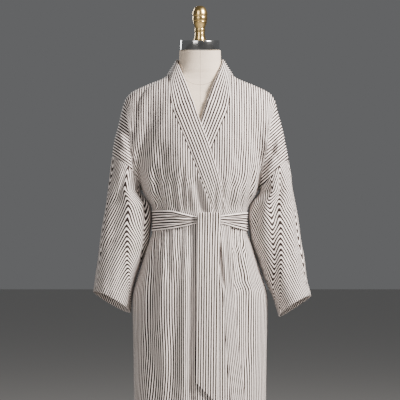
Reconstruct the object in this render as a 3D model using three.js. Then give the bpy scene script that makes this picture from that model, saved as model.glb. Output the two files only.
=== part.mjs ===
// Kimono bathrobe with a tied belt, worn by a limbless dress form on a round stand.
// Millimetres, +Z up, the robe's front faces -Y. The origin is on the floor, at the centre
// of the stand's base. "Right" and "left" are the wearer's: right is -X.
//
// The cloth is made of walls. A wall's outer face follows one continuous outline of the
// worn garment; its inner face lies CLOTH further in.

import * as THREE from "three";

// ---------------------------------------------------------------- driving dimensions
const CLOTH = 2.0;            // wall thickness of every cloth piece
const SEAM_GAP = 0.4;         // distance between pieces that are sewn together
const BAND_GAP = 0.8;         // the same where the neck band turns up from the panels
const LAYER = 3.8;            // distance from one cloth layer's face to the next one's
const HEM = 385;              // height of the hem
const UNDERARM = 1142;        // height where sleeve and side seam meet
const BACK_NECK = 1440;       // height of the neck seam at the centre back
const NECK_POINT = 1457;      // height of the neck seam on the shoulder
const NECK_HALF = 82;         // half width of the neck opening on the shoulder

const FLOOR_GAP = 0.3;        // gap between two hard pieces that touch
const FORM_BOTTOM = 720;
const NECK_LEAN = THREE.MathUtils.degToRad(10);
const NECK_TOP = { y: -11, z: 1522 };
const POLE_RADIUS = 17;
const BASE_RADIUS = 205;
const BASE_HEIGHT = 16;

// ---------------------------------------------------------------- tables
/** Rows of numbers with named columns, as a list of objects. */
function table(columns, rows) {
  return rows.map((row) => Object.fromEntries(columns.map((name, i) => [name, row[i]])));
}

// The garment round the trunk: half width at the side, depth in front and behind.
const TRUNK = table(["z", "side", "front", "back"], [
  [385, 176, 137, 129],
  [520, 176, 135, 127],
  [700, 178, 132, 125],
  [850, 181, 129, 122],
  [940, 158, 122, 114],
  [1000, 139, 112, 103],
  [1032, 128, 103, 95],
  [1060, 126, 100, 92],
  [1088, 128, 102, 94],
  [1142, 156, 115, 103],
  [1200, 168, 121, 108],
  [1260, 173, 120, 106],
  [1320, 173, 112, 98],
  [1370, 167, 99, 87],
  [1404, 152, 86, 77],
  [1425, 132, 73, 70],
  [1447, 95, 57, 64],
  [1458, 82, 46, 60],
]);

// The garment over the arms: outer line on each side, half width and half depth.
const ARM = table(["z", "outRight", "outLeft", "wideRight", "wideLeft", "deep", "soft"], [
  [780, 289, 308, 49, 43, 76, 8],
  [860, 286, 297, 49.5, 50, 76, 8],
  [907, 281, 287, 50.5, 52, 76, 8],
  [960, 274, 280, 55, 58, 74, 8],
  [1015, 268, 270, 61, 61.5, 72, 8],
  [1058, 262, 265, 62, 63, 70, 8],
  [1101, 254, 259, 57, 59, 70, 8],
  [1142, 248, 251, 44.5, 46, 70, 8],
  [1188, 243, 245, 45, 46, 71, 12],
  [1231, 238, 238, 46, 46, 71, 26],
  [1274, 232, 230, 48, 48, 70, 44],
  [1317, 221, 221, 50, 50, 66, 56],
  [1360, 211, 209, 51, 51, 58, 60],
  [1385, 204, 203, 51, 51, 51, 60],
  [1404, 191, 191, 50, 50, 45, 60],
  [1425, 152, 152, 46, 46, 35, 50],
  [1447, 101, 101, 36, 36, 24, 30],
  [1458, 86, 86, 30, 30, 18, 20],
]);

// The armhole seam: height at each angle round the arm, from the outer line (0) over the
// front or the back to the underarm (180).
const ARMHOLE = table(["angle", "right", "left"], [
  [0, 1239, 1228],
  [45, 1230, 1219],
  [75, 1216, 1203],
  [105, 1200, 1179],
  [140, 1172, 1158],
  [180, 1142, 1142],
]);

// The cuffs: mean height, rise of the outer side, rise of the front.
const CUFF = {
  right: { z: 843, outer: 27, front: 14 },
  left: { z: 832, outer: 27, front: 12 },
};

// Neck band on one front: where its seam and its free edge run, measured from the centre
// line towards the front's own side. Below the crossing both are on the other side.
const BAND_SEAM = table(["z", "x"], [
  [385, -86], [590, -78], [721, -68], [902, -57], [1029, -49], [1100, -29], [1180, 3],
  [1259, 34], [1310, 55], [1358, 73.5], [1405, 80], [1457, 82],
]);
const BAND_FREE = table(["z", "x"], [
  [385, -124], [590, -117], [721, -102], [902, -88], [1047, -80], [1086, -68], [1165, -52],
  [1250, -26], [1335, 5], [1388, 22], [1432, 38],
]);

// How much higher the band's free edge is than the seam across from it.
const BAND_RISE = table(["z", "rise"], [[385, 0], [1029, 3], [1100, 14], [1259, 17], [1356, 32]]);

// Neck band round the neck: its free edge, with the height of the seam across from it, up
// the front and then down the back.
const BAND_NECK = table(["seamZ", "x", "y", "z"], [
  [1352, 21, -90, 1383],
  [1378, 33, -75, 1417],
  [1396, 42, -63, 1440],
  [1412, 50, -50, 1460],
  [1427, 56, -37, 1475],
  [1440, 60, -24, 1487],
  [1455, 62.5, -9, 1496],
]);
const BAND_BACK = table(["seamZ", "x", "y", "z"], [
  [1440, 0, 60, 1490],
  [1442, 23, 56, 1492],
  [1446, 41, 46, 1495],
  [1451, 54, 31, 1498],
  [1455, 61.5, 12, 1500],
]);

// Largest folds: soft troughs (depth > 0) and ridges (depth < 0) in the outer face, each
// along a line on the front or the back.
const FOLDS = table(["face", "x1", "z1", "x2", "z2", "depth", "wide"], [
  ["front", -192, 1304, -182, 1220, 9, 13],
  ["front", -182, 1226, -172, 1176, 6, 12],
  ["front", -106, 1275, -88, 1112, 6, 13],
  ["front", -66, 1290, -30, 1130, -4, 15],
  ["front", 112, 1262, 92, 1112, 5, 14],
  ["front", -36, 1010, -42, 540, -7, 15],
  ["front", -84, 1012, -100, 600, -4, 20],
  ["front", -118, 1000, -138, 640, 5, 16],
  ["front", 148, 990, 158, 560, 5, 16],
  ["back", -60, 1270, -34, 1105, 6, 16],
  ["back", 66, 1280, 36, 1105, 6, 16],
  ["back", 0, 1012, 4, 520, 7, 20],
  ["back", -74, 1012, -96, 600, 6, 20],
  ["back", 78, 1012, 102, 560, 6, 20],
]);

// The belt's visible height across the front: it is pulled together at the knot.
const BELT = table(["x", "top", "bottom"], [
  [-126, 1088, 1033],
  [-80, 1087, 1037],
  [-35, 1077, 1045],
  [-6, 1071, 1051],
  [48, 1073, 1051],
  [90, 1079, 1042],
  [126, 1084, 1033],
]);
const BELT_LIFT = 3.4;        // from the garment's outer face to the belt's
const KNOT = { left: -3, right: 47, top: 1077, bottom: 1049, near: 4, far: 12.5 };

// The belt's hanging ends. Down the length: height and distance of the outer face from the
// garment's. Across: the left edge at the top and at the end, and the width.
const TAIL_FRONT = {
  path: table(["z", "out"], [
    [1079, 8.5], [1081.5, 10.5], [1081.5, 13], [1079, 15], [1064, 15.4], [1046, 14.5],
    [1005, 10.6], [950, 7.4], [880, 7], [800, 7], [720, 7],
  ]),
  leftTop: -6.5, leftEnd: -11.5, wide: 57, short: 642, long: 584,
};
const TAIL_BACK = {
  path: table(["z", "out"], [[1048.4, 6.4], [1010, 4.4], [950, 3.8], [880, 3.8], [790, 3.8]]),
  leftTop: -3, leftEnd: -7, wide: 53, short: 690, long: 636,
};

// The dress form: half width, depth in front and behind.
const FORM = table(["z", "side", "front", "back"], [
  [720, 156, 103, 99],
  [735, 161, 107, 103],
  [800, 164, 109, 106],
  [880, 160, 107, 104],
  [960, 143, 100, 94],
  [1020, 121, 90, 80],
  [1060, 112, 84, 73],
  [1110, 122, 90, 77],
  [1180, 144, 102, 88],
  [1250, 158, 107, 93],
  [1310, 166, 100, 88],
  [1360, 174, 87, 78],
  [1388, 181, 74, 68],
  [1404, 177, 63, 62],
  [1418, 155, 58, 58],
  [1432, 121.5, 54, 56],
  [1443, 92, 52, 54],
  [1454, 69, 52, 54],
  [1468, 61, 53.5, 53.5],
  [1490, 57, 53, 53],
  [1522, 55.5, 52, 52],
]);

// ---------------------------------------------------------------- curves
/** A smooth curve through the rows that never overshoots between them. */
function curve(rows, at, column) {
  const x = rows.map((row) => row[at]);
  const y = rows.map((row) => row[column]);
  const last = x.length - 1;
  const steep = x.slice(1).map((value, i) => (y[i + 1] - y[i]) / (value - x[i]));
  const slope = y.map((_, i) => {
    if (i === 0) return steep[0];
    if (i === last) return steep[last - 1];
    const before = steep[i - 1];
    const after = steep[i];
    return before * after <= 0 ? 0 : (2 * before * after) / (before + after);
  });
  const step = Math.sign(x[last] - x[0]);
  return (value) => {
    if ((value - x[0]) * step <= 0) return y[0];
    if ((value - x[last]) * step >= 0) return y[last];
    let i = 0;
    while ((value - x[i + 1]) * step > 0) i += 1;
    const width = x[i + 1] - x[i];
    const t = (value - x[i]) / width;
    const rise = t * t * (3 - 2 * t);
    return y[i] + (y[i + 1] - y[i]) * rise
      + width * t * (1 - t) * (slope[i] * (1 - t) - slope[i + 1] * t);
  };
}

const sideName = (side) => (side < 0 ? "Right" : "Left");
const trunk = {
  side: curve(TRUNK, "z", "side"),
  front: curve(TRUNK, "z", "front"),
  back: curve(TRUNK, "z", "back"),
};
const arm = {
  outRight: curve(ARM, "z", "outRight"),
  outLeft: curve(ARM, "z", "outLeft"),
  wideRight: curve(ARM, "z", "wideRight"),
  wideLeft: curve(ARM, "z", "wideLeft"),
  deep: curve(ARM, "z", "deep"),
  soft: curve(ARM, "z", "soft"),
};
const armhole = {
  Right: curve(ARMHOLE, "angle", "right"),
  Left: curve(ARMHOLE, "angle", "left"),
};
const bandSeam = curve(BAND_SEAM, "z", "x");
const bandFree = curve(BAND_FREE, "z", "x");
const bandRise = curve(BAND_RISE, "z", "rise");
const place = (rows, at) => ({
  x: curve(rows, at, "x"),
  y: curve(rows, at, "y"),
  z: curve(rows, at, "z"),
});
const bandNeck = place(BAND_NECK, "seamZ");
const bandBack = place(BAND_BACK, "seamZ");
const beltTop = curve(BELT, "x", "top");
const beltBottom = curve(BELT, "x", "bottom");
const smoothStep = (t) => THREE.MathUtils.smoothstep(t, 0, 1);
const mix = THREE.MathUtils.lerp;

/** The larger of two depths, rounded where they cross and where both are deep enough. */
function softMax(a, b, soft) {
  const near = Math.max(soft - Math.abs(a - b), 0) / soft;
  return Math.max(a, b) + near * near * 0.25 * Math.min(soft, 2 * Math.min(a, b));
}

/** Depth of an oval of the given half width and half depth, x from its middle. */
function ovalDepth(x, half, deep, square) {
  const t = Math.min(Math.abs(x) / half, 1);
  return deep * (1 - t ** square) ** (1 / square);
}

/** How far the folds push the outer face in at a place on the front or the back. */
function foldDepth(face, x, z) {
  let depth = 0;
  for (const fold of FOLDS) {
    if (fold.face !== face) continue;
    const alongX = fold.x2 - fold.x1;
    const alongZ = fold.z2 - fold.z1;
    const length = Math.hypot(alongX, alongZ);
    const t = ((x - fold.x1) * alongX + (z - fold.z1) * alongZ) / length ** 2;
    const off = ((x - fold.x1) * alongZ - (z - fold.z1) * alongX) / length / fold.wide;
    const ends = smoothStep(t / 0.3) * smoothStep((1 - t) / 0.3);
    depth += fold.depth * Math.exp(-off * off) * ends;
  }
  return depth;
}

// ---------------------------------------------------------------- the worn outline
// A place on the outline is a height z and a turn: 0 is the centre front, 1 the left
// outer line, 2 the centre back, 3 or -1 the right outer line. Above the underarm the
// outline takes in both arms ("joined"); below it is the trunk alone.
function outline(z, turn, joined, folds = 1) {
  const across = Math.sin((turn * Math.PI) / 2);
  const ahead = Math.cos((turn * Math.PI) / 2);
  const side = across < 0 ? -1 : 1;
  const name = sideName(side);
  const face = ahead >= 0 ? "front" : "back";
  const half = joined ? arm[`out${name}`](z) : trunk.side(z);
  const x = half * across;
  const square = 2.25;
  let depth = 0;
  if (joined) {
    const wide = arm[`wide${name}`](z);
    const body = ovalDepth(x, Math.min(trunk.side(z), half), trunk[face](z), square);
    const over = Math.abs(x) - (half - wide);
    const limb = Math.abs(over) < wide ? ovalDepth(over, wide, arm.deep(z), 2) : 0;
    depth = softMax(body, limb, arm.soft(z));
  } else {
    depth = ovalDepth(x, half, trunk[face](z), square);
  }
  depth -= folds * foldDepth(face, x, z) * Math.min(1, Math.abs(ahead) * 3);
  return new THREE.Vector3(x, ahead >= 0 ? -depth : depth, z);
}

/** Outward direction of the outline at a place. */
function outward(z, turn, joined, folds = 1) {
  const step = 0.004;
  const before = outline(z, turn - step, joined, folds);
  const below = outline(z - 1, turn, joined, folds);
  const round = outline(z, turn + step, joined, folds).sub(before);
  const up = outline(z + 1, turn, joined, folds).sub(below);
  return round.cross(up).normalize();
}

/** A point of the outline moved out by `out` (in, when negative). */
function lifted(z, turn, joined, out, folds = 1) {
  const direction = outward(z, turn, joined, folds);
  return outline(z, turn, joined, folds).addScaledVector(direction, out);
}

/** The turn at which the outline reaches x, on the front or the back. */
function turnAt(x, z, joined, face) {
  const half = joined ? arm[`out${sideName(x < 0 ? -1 : 1)}`](z) : trunk.side(z);
  const turn = (Math.asin(THREE.MathUtils.clamp(x / half, -1, 1)) * 2) / Math.PI;
  return face === "front" ? turn : 2 - turn;
}

/** Height and turn of the armhole seam at an angle round the arm. */
function armholePlace(side, angle, face) {
  const name = sideName(side);
  const z = armhole[name](angle);
  const out = arm[`out${name}`](z);
  const wide = arm[`wide${name}`](z);
  const x = out - wide + wide * Math.cos(THREE.MathUtils.degToRad(angle));
  return { z, turn: turnAt(side * Math.max(x, creaseX(z, side)), z, true, face) };
}

/** Where trunk and arm meet in a crease at a height near the underarm. */
function creaseX(z, side) {
  const name = sideName(side);
  const middle = arm[`out${name}`](z) - arm[`wide${name}`](z);
  let low = middle - arm[`wide${name}`](z);
  let high = middle;
  if (low >= trunk.side(z)) return trunk.side(z);
  for (let i = 0; i < 30; i += 1) {
    const x = (low + high) / 2;
    const body = ovalDepth(x, trunk.side(z), trunk.front(z), 2.25);
    const limb = ovalDepth(x - middle, arm[`wide${name}`](z), arm.deep(z), 2);
    if (body > limb) low = x;
    else high = x;
  }
  return low;
}

// ---------------------------------------------------------------- walls
/** Collects faces of points and joins points that lie in the same place. */
class Patch {
  constructor() {
    this.outer = [];
    this.inner = [];
    this.faces = [];
    this.known = new Map();
  }

  point({ outer, inner }) {
    const key = outer.toArray().map((value) => Math.round(value * 1000)).join();
    if (!this.known.has(key)) {
      this.known.set(key, this.outer.length);
      this.outer.push(outer);
      this.inner.push(inner);
    }
    return this.known.get(key);
  }

  /**
   * Adds a grid of { outer, inner } points, rows upwards and columns to the right when
   * seen from outside, or to the left when `mirrored`. A row may have one point more than
   * the row below it. A closed grid runs all round.
   */
  grid(rows, mirrored = false, closed = false) {
    const index = rows.map((row) => row.map((place) => this.point(place)));
    const add = (a, b, c) => {
      if (a !== b && b !== c && c !== a) this.faces.push(mirrored ? [a, c, b] : [a, b, c]);
    };
    for (let r = 0; r + 1 < rows.length; r += 1) {
      const [low, high] = [index[r], index[r + 1]];
      for (let c = 0; c < (closed ? low.length : low.length - 1); c += 1) {
        const d = (c + 1) % low.length;
        add(low[c], low[d], high[d]);
        add(low[c], high[d], high[c]);
      }
      if (high.length > low.length) add(low.at(-1), high.at(-1), high.at(-2));
    }
    return this;
  }

  /** The wall between the outer and the inner points, closed along its free edges. */
  wall() {
    const count = this.outer.length;
    const edges = new Set(this.faces.flatMap(([a, b, c]) => [`${a},${b}`, `${b},${c}`, `${c},${a}`]));
    const index = [];
    for (const [a, b, c] of this.faces) {
      index.push(a, b, c, a + count, c + count, b + count);
    }
    for (const edge of edges) {
      const [a, b] = edge.split(",").map(Number);
      if (edges.has(`${b},${a}`)) continue;
      index.push(a, a + count, b, b, a + count, b + count);
    }
    return solid([...this.outer, ...this.inner], index);
  }
}

function solid(points, index) {
  const geometry = new THREE.BufferGeometry();
  geometry.setAttribute("position", new THREE.Float32BufferAttribute(points.flatMap((p) => p.toArray()), 3));
  geometry.setIndex(index);
  geometry.computeVertexNormals();
  return geometry;
}

/** Rings of points, bottom to top, closed by a flat cap at each end. */
function loft(rings) {
  const sides = rings[0].length;
  const points = rings.flat();
  const index = [];
  for (let r = 0; r + 1 < rings.length; r += 1) {
    for (let c = 0; c < sides; c += 1) {
      const d = (c + 1) % sides;
      const low = r * sides;
      const high = low + sides;
      index.push(low + c, low + d, high + d, low + c, high + d, high + c);
    }
  }
  const top = (rings.length - 1) * sides;
  const middle = (ring) => ring.reduce((sum, p) => sum.add(p), new THREE.Vector3()).divideScalar(sides);
  points.push(middle(rings[0]), middle(rings.at(-1)));
  for (let c = 0; c < sides; c += 1) {
    const d = (c + 1) % sides;
    index.push(d, c, points.length - 2, top + c, top + d, points.length - 1);
  }
  return solid(points, index);
}

/** A wall's pair of points at a place on the outline. */
function clothPoint(z, turn, joined, out, folds = 1) {
  return {
    outer: lifted(z, turn, joined, out, folds),
    inner: lifted(z, turn, joined, out - CLOTH, folds),
  };
}

/** Turns that divide the outline between two turns into equal lengths. */
function equalTurns(z, from, to, joined, count) {
  const fine = 120;
  const lengths = [0];
  let before = outline(z, from, joined);
  for (let i = 1; i <= fine; i += 1) {
    const here = outline(z, mix(from, to, i / fine), joined);
    lengths.push(lengths[i - 1] + here.distanceTo(before));
    before = here;
  }
  const shares = [];
  let i = 0;
  for (let c = 0; c <= count; c += 1) {
    const wanted = (lengths[fine] * c) / count;
    while (i < fine - 1 && lengths[i + 1] < wanted) i += 1;
    const part = (wanted - lengths[i]) / (lengths[i + 1] - lengths[i]);
    shares.push(Math.min(1, (i + part) / fine));
  }
  return shares;
}

// ---------------------------------------------------------------- body panels
// A panel has rows up its height. Its columns keep equal distances on the trunk; over the
// arm there is one more column for each point of the armhole seam that the rows pass.
const ARM_ANGLES = [0, 26, 46, 64, 82, 100, 120];    // seam points that start a column
const CREASE_ANGLES = [148, 180];                    // seam points down the crease
const SKIRT_ROWS = [HEM, 450, 540, 630, 720, 810, 870, 920, 965, 1005, 1032, 1060, 1088, 1115];
const CHEST_ROWS = [1262, 1292, 1322, 1352, 1378, 1396];
const SHOULDER_ROWS = [1412, 1427, BACK_NECK, 1442, 1446, 1451, 1455];
const TRUNK_COLUMNS = { front: 11, back: 8 };

const upAngles = [...ARM_ANGLES, ...CREASE_ANGLES].reverse();

/** The heights of a panel's rows at its inner and outer edge, from the hem upwards. */
function panelRows(side) {
  const seamZ = (which, angle) => armhole[which](angle);
  const own = sideName(side);
  return [
    ...SKIRT_ROWS.map((z) => ({ inner: z, outer: z, angle: null })),
    ...upAngles.map((angle) => ({
      inner: (seamZ("Right", angle) + seamZ("Left", angle)) / 2,
      outer: seamZ(own, angle),
      angle,
    })),
    ...[...CHEST_ROWS, ...SHOULDER_ROWS].map((z) => ({ inner: z, outer: z, angle: 0 })),
  ];
}

/** How far a place on the left front lies under the right front: 0 clear, 1 covered. */
function covered(x, z) {
  return 1 - smoothStep((x + bandFree(z) - 6) / 45);
}

/**
 * One half of the body on one side, as rows of wall points. `innerX` gives the inner edge
 * at a height, counted from the centre line towards the half's own side.
 */
function panelGrid(side, face, innerX, under) {
  const middle = face === "front" ? 0 : 2;
  const edge = face === "front" ? side : 2 - side;
  const start = (z, joined) => turnAt(side * innerX(z), z, joined, face);
  const seam = new Map(upAngles.map((angle) => [angle, armholePlace(side, angle, face)]));
  const shareOf = (angle) => {
    const { z, turn } = seam.get(angle);
    return (turn - start(z, true)) / (edge - start(z, true));
  };
  const columnTurn = (angle, z) => mix(start(z, true), edge, shareOf(angle));

  return panelRows(side).map(({ inner, outer, angle }) => {
    const joined = angle !== null && angle < 180;
    const armColumns = joined ? ARM_ANGLES.filter((a) => a >= angle) : [];
    const first = armColumns.length ? Math.max(...armColumns) : null;
    let end = edge;
    if (first !== null) end = columnTurn(first, outer);
    else if (joined) end = seam.get(angle).turn;
    const trimmed = (turn) => {
      const half = joined ? arm[`out${sideName(side)}`](outer) : trunk.side(outer);
      const atEdge = Math.abs(turn - edge) < 1e-6;
      return atEdge ? turn - (Math.sign(edge - middle) * SEAM_GAP) / 2 / half : turn;
    };
    const shares = equalTurns(outer, start(outer, joined), trimmed(end), joined, TRUNK_COLUMNS[face]);
    const places = shares.map((share) => {
      const z = mix(inner, outer, share * share);
      return { z, turn: mix(start(z, joined), trimmed(end), share) };
    });
    for (const a of armColumns.filter((value) => value < first).sort((p, q) => q - p)) {
      places.push({ z: outer, turn: trimmed(columnTurn(a, outer)) });
    }
    return places.map(({ z, turn }) => {
      const hidden = under ? covered(outline(z, turn, joined).x, z) : 0;
      return clothPoint(z, turn, joined, -LAYER * hidden, 1 - hidden);
    });
  });
}

/** Half width of the back's neck scoop at a height. */
function backNeckX(z) {
  return NECK_HALF * Math.sqrt(Math.max(0, z - BACK_NECK) / (NECK_POINT - BACK_NECK));
}

function backPanel() {
  const patch = new Patch();
  for (const side of [-1, 1]) patch.grid(panelGrid(side, "back", backNeckX, false), side > 0);
  return patch.wall();
}

function frontPanel(side) {
  return new Patch().grid(panelGrid(side, "front", bandSeam, side > 0), side < 0).wall();
}

// ---------------------------------------------------------------- sleeves
/** A point of the plain sleeve tube, and its outward direction. */
function tube(side, angle, z) {
  const name = sideName(side);
  const round = THREE.MathUtils.degToRad(angle);
  const wide = arm[`wide${name}`](z);
  const deep = arm.deep(z);
  const x = arm[`out${name}`](z) - wide + wide * Math.cos(round);
  const point = new THREE.Vector3(side * x, -deep * Math.sin(round), z);
  const normal = new THREE.Vector3(side * deep * Math.cos(round), -wide * Math.sin(round), 0);
  return { point, normal: normal.normalize() };
}

const SLEEVE_ANGLES = [
  ...upAngles.toReversed(),
  ...upAngles.filter((angle) => angle > 0 && angle < 180).map((angle) => 360 - angle),
];

function sleeve(side) {
  const name = sideName(side);
  const cuff = CUFF[name.toLowerCase()];
  const stations = 11;
  const settle = 70;
  const grid = [];
  for (let s = 0; s <= stations; s += 1) {
    const row = [];
    for (let i = 0; i < SLEEVE_ANGLES.length; i += 1) {
      const angle = SLEEVE_ANGLES[i];
      const face = angle <= 180 ? "front" : "back";
      const seam = armholePlace(side, angle <= 180 ? angle : 360 - angle, face);
      const round = THREE.MathUtils.degToRad(angle);
      const low = cuff.z + cuff.outer * Math.cos(round) + cuff.front * Math.sin(round);
      const z = mix(low, seam.z, s / stations);
      const { point, normal } = tube(side, angle, z);
      const top = tube(side, angle, seam.z);
      const near = smoothStep(1 - (seam.z - z) / settle);
      const sewn = clothPoint(seam.z, seam.turn, true, 0);
      const away = new THREE.Vector3(side * 0.55, 0, -0.85).multiplyScalar(SEAM_GAP * 3.2);
      const shift = (from, to) => to.clone().sub(from).add(away).multiplyScalar(near);
      const inside = top.point.clone().addScaledVector(top.normal, -CLOTH);
      row.push({
        outer: point.clone().add(shift(top.point, sewn.outer)),
        inner: point.clone().addScaledVector(normal, -CLOTH).add(shift(inside, sewn.inner)),
      });
    }
    grid.push(row);
  }
  return new Patch().grid(grid, side > 0, true).wall();
}

// ---------------------------------------------------------------- neck band
const BAND_COLUMNS = 3;

/** Across the band at one place: the outer points from the seam to the free edge. */
function bandRow(side, z, face) {
  const joined = z > UNDERARM;
  const under = side > 0 && face === "front";
  const onCloth = (x, height) => {
    const turn = turnAt(side * x, height, joined, face);
    const hidden = under ? covered(x, height) : 0;
    return lifted(height, turn, joined, -LAYER * hidden, 1 - hidden);
  };
  const onNeck = face === "back" || z >= BAND_NECK[0].seamZ;
  const seamX = face === "front" ? bandSeam(z) : backNeckX(z);
  const seam = onCloth(seamX, z);
  const points = [];
  for (let c = 0; c <= BAND_COLUMNS; c += 1) {
    const share = c / BAND_COLUMNS;
    if (!onNeck) {
      const height = z + bandRise(z);
      points.push(onCloth(mix(seamX, bandFree(height), share), mix(z, height, share)));
      continue;
    }
    const edge = face === "front" ? bandNeck : bandBack;
    const free = new THREE.Vector3(side * edge.x(z), edge.y(z), edge.z(z));
    points.push(seam.clone().lerp(free, share));
  }
  return points;
}

/** Moves a row's first point clear of the panel that the band is sewn to. */
function clearSeam(row) {
  const away = row[1].clone().sub(row[0]).setLength(BAND_GAP);
  row[0].add(away);
  return row;
}

function neckBand(side) {
  const rows = panelRows(side).map((row) => bandRow(side, row.inner, "front"));
  const topZ = SHOULDER_ROWS.at(-1);
  const behind = SHOULDER_ROWS.filter((z) => z >= BACK_NECK).reverse();
  const shoulder = bandRow(side, topZ, "back");
  shoulder[0].copy(lifted(topZ, side, true, 0));
  shoulder[BAND_COLUMNS].set(side * 63, 1.5, 1499);
  for (let c = 1; c < BAND_COLUMNS; c += 1) {
    shoulder[c].copy(shoulder[0]).lerp(shoulder[BAND_COLUMNS], c / BAND_COLUMNS);
  }
  rows.push(shoulder, ...behind.map((z) => bandRow(side, z, "back")));
  for (const point of rows.at(-1)) point.x += (side * BAND_GAP) / 2;
  return sheetOf(rows.map(clearSeam), side < 0);
}

/** A wall under a grid of outer points. `turned` tells that the grid runs the other way. */
function sheetOf(rows, turned) {
  const at = (r, c) => rows[Math.min(Math.max(r, 0), rows.length - 1)][
    Math.min(Math.max(c, 0), rows[0].length - 1)];
  const grid = rows.map((row, r) => row.map((outer, c) => {
    const along = at(r + 1, c).clone().sub(at(r - 1, c));
    const across = at(r, c + 1).clone().sub(at(r, c - 1));
    const direction = across.cross(along).normalize().multiplyScalar(turned ? 1 : -1);
    return { outer, inner: outer.clone().addScaledVector(direction, -CLOTH) };
  }));
  return new Patch().grid(grid, !turned).wall();
}

// ---------------------------------------------------------------- belt
const BELT_COLUMNS = 44;

/** The belt's lower and upper edge at a turn: shaped in front, straight behind. */
function beltEdges(turn) {
  if (turn <= 1) {
    const x = BELT.at(-1).x * Math.sin((turn * Math.PI) / 2);
    return [beltBottom(x), beltTop(x)];
  }
  const share = (turn - 1) / 2;
  return ["bottom", "top"].map((edge) => mix(BELT.at(-1)[edge], BELT[0][edge], share));
}

function beltWrap() {
  const rows = [0, 0.5, 1].map((share) => Array.from({ length: BELT_COLUMNS }, (_, c) => {
    const turn = (c * 4) / BELT_COLUMNS - 1;
    const z = mix(...beltEdges(turn), share);
    return {
      outer: lifted(z, turn, false, BELT_LIFT, 0),
      inner: lifted(z, turn, false, BELT_LIFT - CLOTH, 0),
    };
  }));
  return new Patch().grid(rows, false, true).wall();
}

/** The folded belt inside the knot: a flat roll, closed at both ends. */
function beltKnot() {
  const sides = 12;
  const ends = [[0, 0.72], [0.12, 0.95], [0.5, 1], [0.88, 0.95], [1, 0.72]];
  const rings = ends.map(([share, size]) => Array.from({ length: sides }, (_, i) => {
    const round = (-2 * Math.PI * i) / sides;
    const x = mix(KNOT.left, KNOT.right, share);
    const z = mix(KNOT.bottom, KNOT.top, 0.5 + 0.5 * size * Math.sin(round));
    const out = mix(KNOT.near, KNOT.far, 0.5 + 0.5 * size * Math.cos(round));
    return lifted(z, turnAt(x, z, false, "front"), false, out, 0);
  }));
  return loft(rings);
}

/** A hanging end of the belt, laid down the front of the skirt. */
function beltTail({ path, leftTop, leftEnd, wide, short, long }) {
  const columns = 3;
  const top = path[0].z;
  const rows = [...path, { z: null, out: path.at(-1).out }].map(({ z, out }) => (
    Array.from({ length: columns + 1 }, (_, c) => {
      const share = c / columns;
      const height = z ?? mix(short, long, share);
      const x = mix(leftTop, leftEnd, (top - height) / (top - short)) + wide * share;
      return lifted(height, turnAt(x, height, false, "front"), false, out, 0);
    })
  ));
  return sheetOf(rows.reverse(), true);
}

// ---------------------------------------------------------------- dress form and stand
function formBody() {
  const sides = 26;
  const squareness = 2 / 2.25;
  const swell = (value) => Math.sign(value) * Math.abs(value) ** squareness;
  const lowNeck = FORM.at(-4).z;
  return loft(FORM.map(({ z, side, front, back }) => {
    const lean = Math.max(0, (z - lowNeck) / (NECK_TOP.z - lowNeck));
    return Array.from({ length: sides }, (_, i) => {
      const round = (2 * Math.PI * i) / sides;
      const y = swell(Math.sin(round));
      const point = new THREE.Vector3(side * swell(Math.cos(round)), y < 0 ? front * y : back * y, 0);
      point.applyAxisAngle(new THREE.Vector3(1, 0, 0), NECK_LEAN * lean);
      return point.add(new THREE.Vector3(0, NECK_TOP.y * lean * lean, z));
    });
  }));
}

/** A turned solid from a profile of [radius, height] pairs. */
function turned(profile, sides) {
  const points = profile.map(([radius, height]) => new THREE.Vector2(radius, height));
  return new THREE.LatheGeometry(points, sides).rotateX(Math.PI / 2);
}

const CAP = { radius: 53, height: 27, edge: 1.5 };
const capProfile = [
  [0, 0], [CAP.radius - CAP.edge, 0], [CAP.radius, CAP.edge],
  [CAP.radius, CAP.height - CAP.edge], [CAP.radius - CAP.edge, CAP.height], [0, CAP.height],
];

/** The finial: foot, cove, ring, vase, bead and dome, from its seat upwards. */
function finialProfile() {
  const dome = { start: 67, radius: 20.3, height: 25 };
  const profile = [
    [0, 0], [17, 0], [17, 1.6], [15.6, 3], [14.2, 9], [13.5, 18], [12.8, 21.5],
    [14.3, 23.5], [14.3, 30], [13.2, 32], [14.8, 37], [17.4, 44], [18.9, 49.6],
    [17.6, 51], [19.7, 53.5], [19.7, 61.5], [18.2, 64.5],
  ];
  for (const degrees of [0, 22, 44, 64, 80, 90]) {
    const round = THREE.MathUtils.degToRad(degrees);
    profile.push([dome.radius * Math.cos(round), dome.start + dome.height * Math.sin(round)]);
  }
  profile.at(-1)[0] = 0;
  return profile;
}

const BASE = { hub: 30, hubTop: 26 };
const baseProfile = [
  [0, 0], [BASE_RADIUS, 0], [BASE_RADIUS, BASE_HEIGHT - 6], [BASE_RADIUS - 4, BASE_HEIGHT - 1.5],
  [BASE_RADIUS - 10, BASE_HEIGHT], [BASE.hub + 4, BASE_HEIGHT], [BASE.hub, BASE_HEIGHT + 3],
  [BASE.hub - 2, BASE.hubTop], [0, BASE.hubTop],
];

// ---------------------------------------------------------------- meshes
const cloth = () => new THREE.MeshStandardMaterial({ color: 0xd9cfbf, roughness: 0.75, metalness: 0 });
const linen = new THREE.MeshStandardMaterial({ color: 0xb9aa8e, roughness: 0.85, metalness: 0 });
const steel = new THREE.MeshStandardMaterial({ color: 0x9a9a98, roughness: 0.18, metalness: 1 });
const brass = new THREE.MeshStandardMaterial({ color: 0xb08a3c, roughness: 0.25, metalness: 1 });

function add(group, name, geometry, material) {
  const mesh = new THREE.Mesh(geometry, material);
  mesh.name = name;
  group.add(mesh);
  return mesh;
}

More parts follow.
